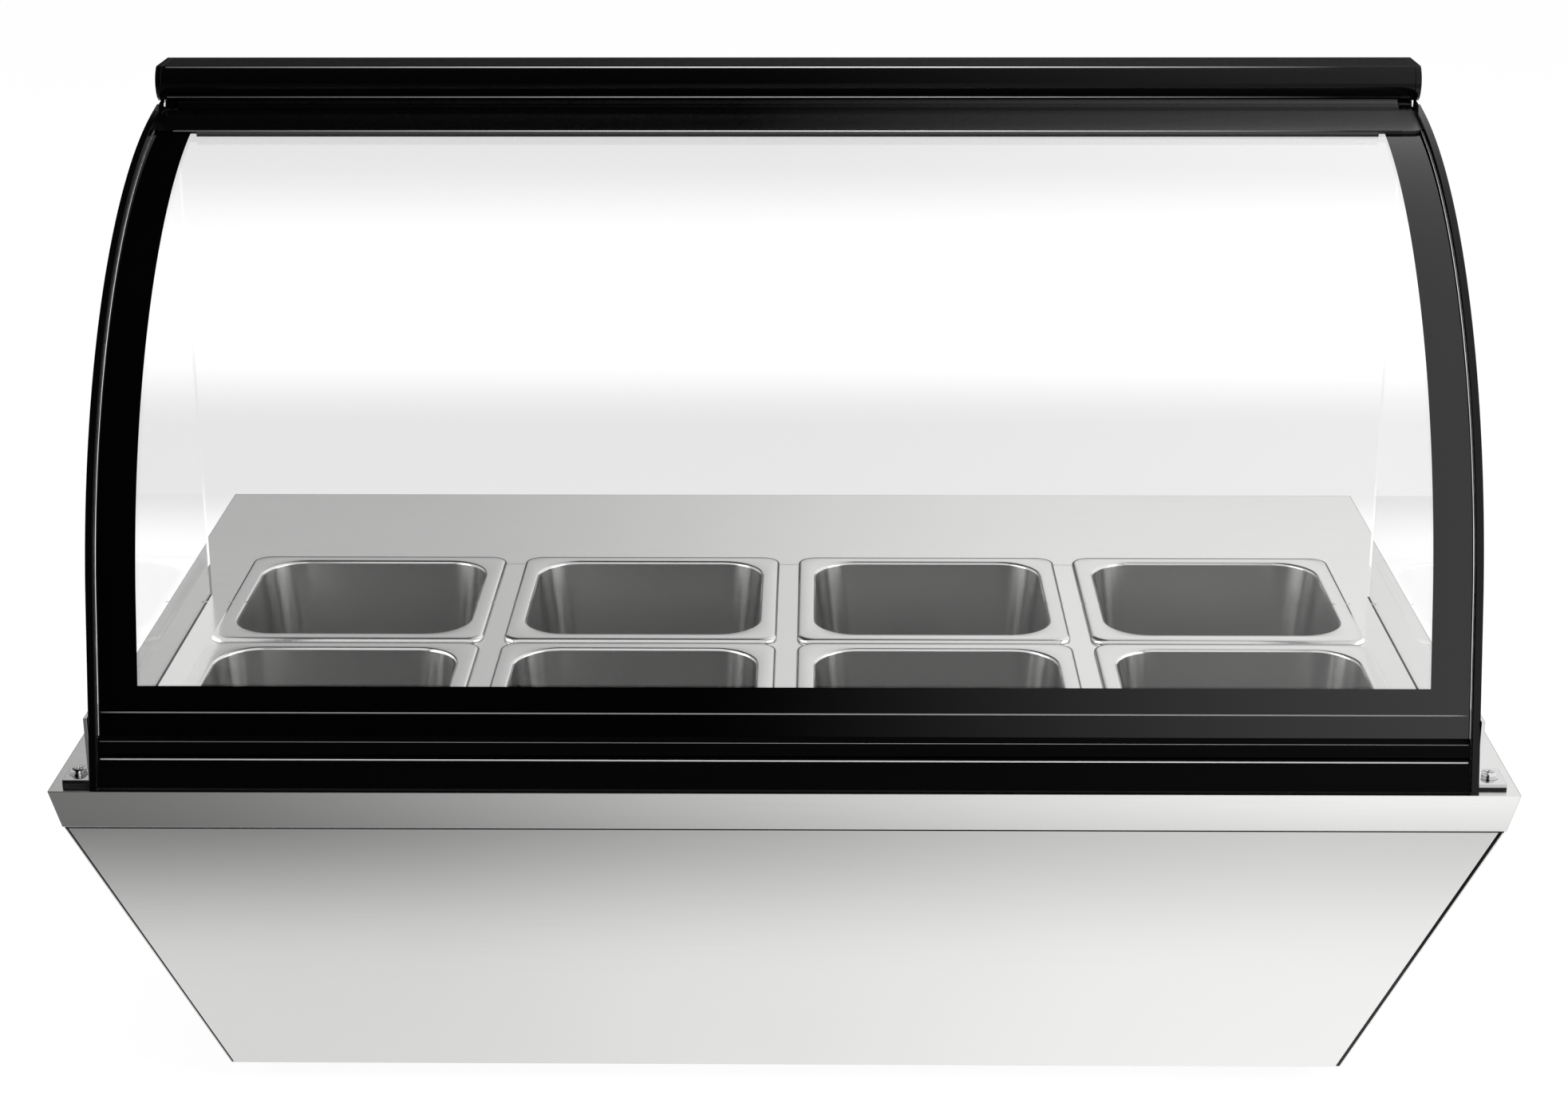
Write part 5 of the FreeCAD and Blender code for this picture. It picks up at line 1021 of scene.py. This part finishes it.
@dataclass
class Fasteners(Assembly):
    """Cross-recessed pan-head screws on washers, and the studs of the feet, in millimetres."""

    dressing: Dressing = ((POLISHED_STEEL, ("foot_bolts",)),)
    seat: float = 3.5
    shank: float = 1.9
    shank_drop: float = 7.5
    washer: float = 5.7
    washer_thick: float = 0.8
    washer_edge: float = 0.2
    washer_foot: float = 0.15
    head: float = 4.5
    head_edge: float = 0.5
    crown_rise: float = 1.5
    crown_rim: float = 0.3
    crown_steps: int = 5
    recess_width: float = 1.1
    recess_reach: float = 2.4
    recess_depth: float = 1.3
    recess_taper: float = 0.8
    steps: int = 32
    turns: tuple[tuple[str, float], ...] = (("left", 20.0), ("right", 62.0))

    def section(self) -> list[Pair]:
        """Draws half the section of a screw with its washer.

        Returns:
            Its (radius, height) points, from the shank's end round to the top of the head.
        """
        seat, washer, edge = self.seat, self.washer, self.washer_edge
        top = seat + self.washer_thick
        flat = self.recess_reach + self.crown_rim
        bends = [math.pi / 2 * step / self.crown_steps for step in range(1, self.crown_steps + 1)]
        crown = [(flat + (self.head - flat) * math.cos(bend),
                  top + self.head_edge + self.crown_rise * math.sin(bend)) for bend in bends]
        return [(0.0, -self.shank_drop), (self.shank, -self.shank_drop), (self.shank, seat),
                (washer - self.washer_foot, seat), (washer, seat + edge), (washer, top - edge),
                (washer - edge, top), (self.head, top), (self.head, top + self.head_edge),
                *crown, (0.0, crown[-1][1])]

    def cut_cross(self, bm: BMesh, top: float) -> None:
        """Sinks the cross recess into the top of the head.

        Args:
            bm: the screw, standing on the origin.
            top: the height of its flat top in metres.
        """
        half = self.recess_width / 2 * MM
        for across, side in product((Vector((1, 0, 0)), Vector((0, 1, 0))), (half, -half)):
            crown = [face for face in bm.faces if face.calc_center_median().z > top - NEAR]
            around = dict.fromkeys(item for face in crown
                                   for item in (face, *face.edges, *face.verts))
            bmesh.ops.bisect_plane(bm, geom=list(around), dist=NEAR, plane_co=across * side,
                                   plane_no=across)
        cross = [face for face in bm.faces
                 if (spot := face.calc_center_median()).z > top - NEAR
                 and min(abs(spot.x), abs(spot.y)) < half]
        sunk = only(bmesh.ops.extrude_face_region(bm, geom=cross)["geom"], Vert)
        bmesh.ops.delete(bm, geom=cross, context="FACES_ONLY")
        bmesh.ops.translate(bm, verts=sunk, vec=(0, 0, -self.recess_depth * MM))
        bmesh.ops.scale(bm, verts=sunk, vec=(self.recess_taper, self.recess_taper, 1.0))

    def screw(self, middle: Vector, turn: float) -> BMesh:
        """One screw with its washer.

        Args:
            middle: the screw's axis on top of the deck.
            turn: how far its cross is turned, in degrees.

        Returns:
            The screw's mesh in the row frame.
        """
        bm = bmesh.new()
        outline = self.section()
        turned(bm, outline, self.steps)
        self.cut_cross(bm, outline[-1][1] * MM)
        bmesh.ops.recalc_face_normals(bm, faces=bm.faces)
        bmesh.ops.rotate(bm, verts=bm.verts, cent=(0, 0, 0),
                         matrix=Matrix.Rotation(math.radians(turn), 3, "Z"))
        bmesh.ops.translate(bm, verts=bm.verts, vec=middle)
        return bm

    def make(self) -> None:
        """Makes the two bracket screws in place of the plain ones."""
        low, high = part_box("bracket_screws")
        reach = self.washer * MM
        for (side, turn), x in zip(self.turns, (low.x + reach, high.x - reach)):
            middle = Vector((x, (low.y + high.y) / 2, DECK.z))
            piece = finish_piece(f"bracket_screw_{side}", self.screw(middle, turn),
                                 POLISHED_STEEL, Body.CABINET.value)
            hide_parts("bracket_screws")


# ---- Machine compartment and controls --------------------

@dataclass
class Machine(Assembly):
    """The refrigeration unit behind the well."""

    dressing: Dressing = (
        (BLACK_ENAMEL, ("compressor", "fan_motor", "accumulator")),
        (COPPER, ("evaporator_coil", "suction_line", "liquid_line", "discharge_line",
                  "condenser_outlet", "filter_drier")),
        (BLACK_PLASTIC, ("fan_frame", "fan_blade", "terminal_box")),
        (FIN_ALUMINIUM, ("condenser_coil",)),
        (BLACK_RUBBER, ("compressor_mounts", "rubber_feet")))


@dataclass
class Controls(Assembly):
    """Thermostat, switch and mains inlet on the rear panel."""

    dressing: Dressing = (
        (BLACK_PLASTIC, ("thermostat_body", "switch_housing", "power_inlet")),
        (KNOB_PLASTIC, ("thermostat_knob",)),
        (ROCKER_PLASTIC, ("switch_rocker",)))


# ---- Studio ----------------------------------------------

@dataclass(frozen=True)
class Sweep:
    """A soft change from one level to another along an axis."""

    name: str
    axis: str
    start: float
    end: float
    low: float
    high: float


@dataclass(frozen=True)
class Lamp:
    """A square panel of light: its place and side in metres, and its power in watts."""

    name: str
    place: Triple
    side: float
    power: float


@dataclass
class Studio:
    """A pale floor, soft light that is stronger from the right, and the camera.

    The eye is in the deck's millimetres and its turns in degrees. The sky's sweeps run along the
    direction of a ray, the ground's along the floor in metres.
    """

    eye: Triple = (20.0, -1442.0, 645.0)
    pitch: float = 19.26
    yaw: float = 0.74
    roll: float = -0.13
    lens: float = 64.67
    sensor: float = 36.0
    floor_half: float = 9.0
    floor_colour: str = "#ececec"
    ambient: float = 0.55
    eye_glow: float = 1.09
    glass_glow: float = 1.18
    glow_share: float = 0.85
    aim: Triple = (0.0, 0.0, 0.3)
    lamps: tuple[Lamp, ...] = (Lamp("key", (1.7, -1.5, 2.2), 1.6, 42.0),
                               Lamp("top", (0.2, 0.4, 2.6), 2.2, 30.0),
                               Lamp("fill", (-2.2, -1.2, 1.4), 1.6, 8.0))
    sky: tuple[Sweep, ...] = (Sweep("right", "X", -0.05, 0.27, 0.0, 1.5),
                              Sweep("left", "X", -0.80, -0.45, 0.9, 0.0),
                              Sweep("rear", "X", -0.16, 0.09, 0.83, 1.33),
                              Sweep("rise", "Z", 0.19, 0.28, 0.05, 1.0),
                              Sweep("behind", "Y", 0.80, 0.90, 0.0, 1.0),
                              Sweep("streak", "aside", 0.5, 0.8, 0.0, 1.6))
    ground: tuple[Sweep, ...] = (Sweep("band", "Y", 0.80, 0.98, 0.0, 0.29),
                                 Sweep("band_end", "Y", 1.20, 1.55, 1.0, 0.0),
                                 Sweep("far_shade", "Y", 2.1, 2.85, 0.0, 0.20),
                                 Sweep("near", "X", -0.4, 0.4, 0.93, 1.28),
                                 Sweep("middle", "X", -0.45, 0.40, 0.18, 0.77),
                                 Sweep("far", "X", -0.56, 0.50, 0.21, 1.34),
                                 Sweep("to_middle", "Y", -0.27, -0.39, 0.0, 1.0),
                                 Sweep("to_far", "Y", -0.42, -0.48, 0.0, 1.0),
                                 Sweep("dim", "Y", -0.6, -1.5, 1.0, 0.42))

    def sweeps(self, tree: Tree, axes: dict, table: tuple[Sweep, ...]) -> dict[str, Node]:
        """Lays soft changes along the axes.

        Args:
            tree: the node tree they go in.
            axes: for each axis's name, what gives the place along it.
            table: the changes.

        Returns:
            The node of each change, by its name.
        """
        return {sweep.name: node(tree, "ShaderNodeMapRange",
                                 {"Value": axes[sweep.axis], "From Min": sweep.start,
                                  "From Max": sweep.end, "To Min": sweep.low,
                                  "To Max": sweep.high}, interpolation_type="SMOOTHSTEP")
                for sweep in table}

    def build_camera(self) -> None:
        """The camera, standing a little right of the middle and looking down."""
        data = bpy.data.cameras.new("camera")
        data.lens = self.lens
        data.sensor_width = self.sensor
        camera = bpy.data.objects.new("camera", data)
        turn = (Matrix.Rotation(math.radians(self.yaw), 4, "Z")
                @ Matrix.Rotation(math.radians(90.0 - self.pitch), 4, "X")
                @ Matrix.Rotation(math.radians(self.roll), 4, "Z"))
        camera.matrix_world = Matrix.Translation(on_deck(*self.eye)) @ turn
        bpy.context.scene.collection.objects.link(camera)
        bpy.context.scene.camera = camera

    def build_world(self) -> None:
        """White to the eye and through glass, and a soft dark-to-light sweep in mirrors."""
        world = bpy.data.worlds.new("studio")
        tree = emptied(world)
        way = node(tree, "ShaderNodeTexCoord").outputs["Generated"]
        axes = dict(node(tree, "ShaderNodeSeparateXYZ", {"Vector": way}).outputs.items())
        axes["aside"] = node(tree, "ShaderNodeMath", {0: axes["X"]}, operation="ABSOLUTE")
        path = node(tree, "ShaderNodeLightPath").outputs
        camera, through = path["Is Camera Ray"], path["Is Transmission Ray"]
        soft = self.sweeps(tree, axes, self.sky)
        front = node(tree, "ShaderNodeMath", {0: soft["right"], 1: soft["left"]},
                     operation="MAXIMUM")
        rear = node(tree, "ShaderNodeMath", {0: soft["rear"], 1: soft["rise"]},
                    operation="MULTIPLY")
        around = node(tree, "ShaderNodeMix", {"Factor": soft["behind"], "A": front, "B": rear},
                      data_type="FLOAT")
        mirror = node(tree, "ShaderNodeBackground", {"Strength": around})
        ambient = node(tree, "ShaderNodeBackground", {"Strength": self.ambient})
        # what shines in through the side glasses makes the bright streaks in the pans' corners
        streak = node(tree, "ShaderNodeMath", {0: soft["streak"], 1: through},
                      operation="MULTIPLY")
        level = node(tree, "ShaderNodeMath", {0: 1.0, 1: streak}, operation="ADD")
        white = node(tree, "ShaderNodeBackground", {"Color": (1, 1, 1, 1), "Strength": level})
        seen = node(tree, "ShaderNodeMath", {0: camera, 1: through}, operation="ADD",
                    use_clamp=True)
        unseen = node(tree, "ShaderNodeMixShader", {"Fac": path["Is Glossy Ray"], 1: ambient,
                                                    2: mirror})
        whole = node(tree, "ShaderNodeMixShader", {"Fac": seen, 1: unseen, 2: white})
        node(tree, "ShaderNodeOutputWorld", {"Surface": whole})
        bpy.context.scene.world = world

    def floor_material(self) -> bpy.types.Material:
        """Makes the floor matt and pale, white to the eye, and shaded in glass and steel.

        Returns:
            The material.
        """
        material = bpy.data.materials.new("Pale_studio_floor")
        tree = emptied(material)
        spot = node(tree, "ShaderNodeTexCoord").outputs["Object"]
        axes = dict(node(tree, "ShaderNodeSeparateXYZ", {"Vector": spot}).outputs.items())
        path = node(tree, "ShaderNodeLightPath").outputs
        camera, through = path["Is Camera Ray"], path["Is Transmission Ray"]
        soft = self.sweeps(tree, axes, self.ground)
        # white to the eye; through the glass a painted grey band of shade lies behind the cabinet, and
        # painted shade darkens the floor far behind it
        band = node(tree, "ShaderNodeMath", {0: soft["band"], 1: soft["band_end"]},
                    operation="MULTIPLY")
        painted_shade = node(tree, "ShaderNodeMath", {0: band, 1: soft["far_shade"]}, operation="ADD")
        clear = node(tree, "ShaderNodeMath", {0: 1.0, 1: painted_shade}, operation="SUBTRACT")
        behind = node(tree, "ShaderNodeMath", {0: clear, 1: self.glass_glow},
                      operation="MULTIPLY")
        shine = node(tree, "ShaderNodeMix", {"Factor": through, "A": self.eye_glow,
                                             "B": behind}, data_type="FLOAT")
        seen = node(tree, "ShaderNodeMath", {0: camera, 1: through}, operation="ADD",
                    use_clamp=True)
        share = node(tree, "ShaderNodeMath", {0: seen, 1: self.glow_share},
                     operation="MULTIPLY")
        matt = node(tree, "ShaderNodeBsdfDiffuse", {"Color": linear(self.floor_colour)})
        glow = node(tree, "ShaderNodeEmission", {"Strength": shine})
        shown = node(tree, "ShaderNodeMixShader", {"Fac": share, 1: matt, 2: glow})
        # in the steel the floor is bright at the cabinet's foot and shaded to the left in front
        tone = soft["near"]
        for step in ("middle", "far"):
            tone = node(tree, "ShaderNodeMix", {"Factor": soft[f"to_{step}"], "A": tone,
                                                "B": soft[step]}, data_type="FLOAT")
        tone = node(tree, "ShaderNodeMath", {0: tone, 1: soft["dim"]}, operation="MULTIPLY")
        mirrored = node(tree, "ShaderNodeEmission", {"Strength": tone})
        # a ray through clear glass also counts as glossy, and is left out here
        bounced = node(tree, "ShaderNodeMath", {0: path["Is Glossy Ray"], 1: through},
                       operation="SUBTRACT", use_clamp=True)
        whole = node(tree, "ShaderNodeMixShader", {"Fac": bounced, 1: shown, 2: mirrored})
        node(tree, "ShaderNodeOutputMaterial", {"Surface": whole})
        return material

    def build_floor(self) -> None:
        """A wide pale floor that keeps a faint shadow."""
        bm = bmesh.new()
        bmesh.ops.create_grid(bm, x_segments=2, y_segments=2, size=self.floor_half)
        mesh = bpy.data.meshes.new("floor")
        bm.to_mesh(mesh)
        bm.free()
        mesh.materials.append(self.floor_material())
        floor = bpy.data.objects.new("floor", mesh)
        bpy.context.scene.collection.objects.link(floor)

    def build_lamps(self) -> None:
        """Large soft panels of light, aimed at the cabinet."""
        for lamp in self.lamps:
            data = bpy.data.lights.new(lamp.name, "AREA")
            data.shape = "SQUARE"
            data.size = lamp.side
            data.energy = lamp.power
            panel = bpy.data.objects.new(lamp.name, data)
            aim = Vector(self.aim) - Vector(lamp.place)
            panel.matrix_world = (Matrix.Translation(Vector(lamp.place))
                                  @ aim.to_track_quat("-Z", "Y").to_matrix().to_4x4())
            panel.visible_glossy = False
            panel.visible_transmission = False
            bpy.context.scene.collection.objects.link(panel)

    def build(self) -> None:
        """Sets the whole studio."""
        self.build_camera()
        self.build_world()
        self.build_floor()
        self.build_lamps()
        bpy.context.scene.view_settings.view_transform = "Standard"


def main() -> None:
    """Builds the cabinet's assemblies in order."""
    logging.basicConfig(level=logging.INFO, format="%(name)s: %(message)s")
    for assembly in (Studio(), Casing(), PanSet(), Canopy(), Fasteners(), Machine(),
                     Controls()):
        assembly.build()
        LOG.info("built %s", type(assembly).__name__)


if __name__ == "__main__":
    main()
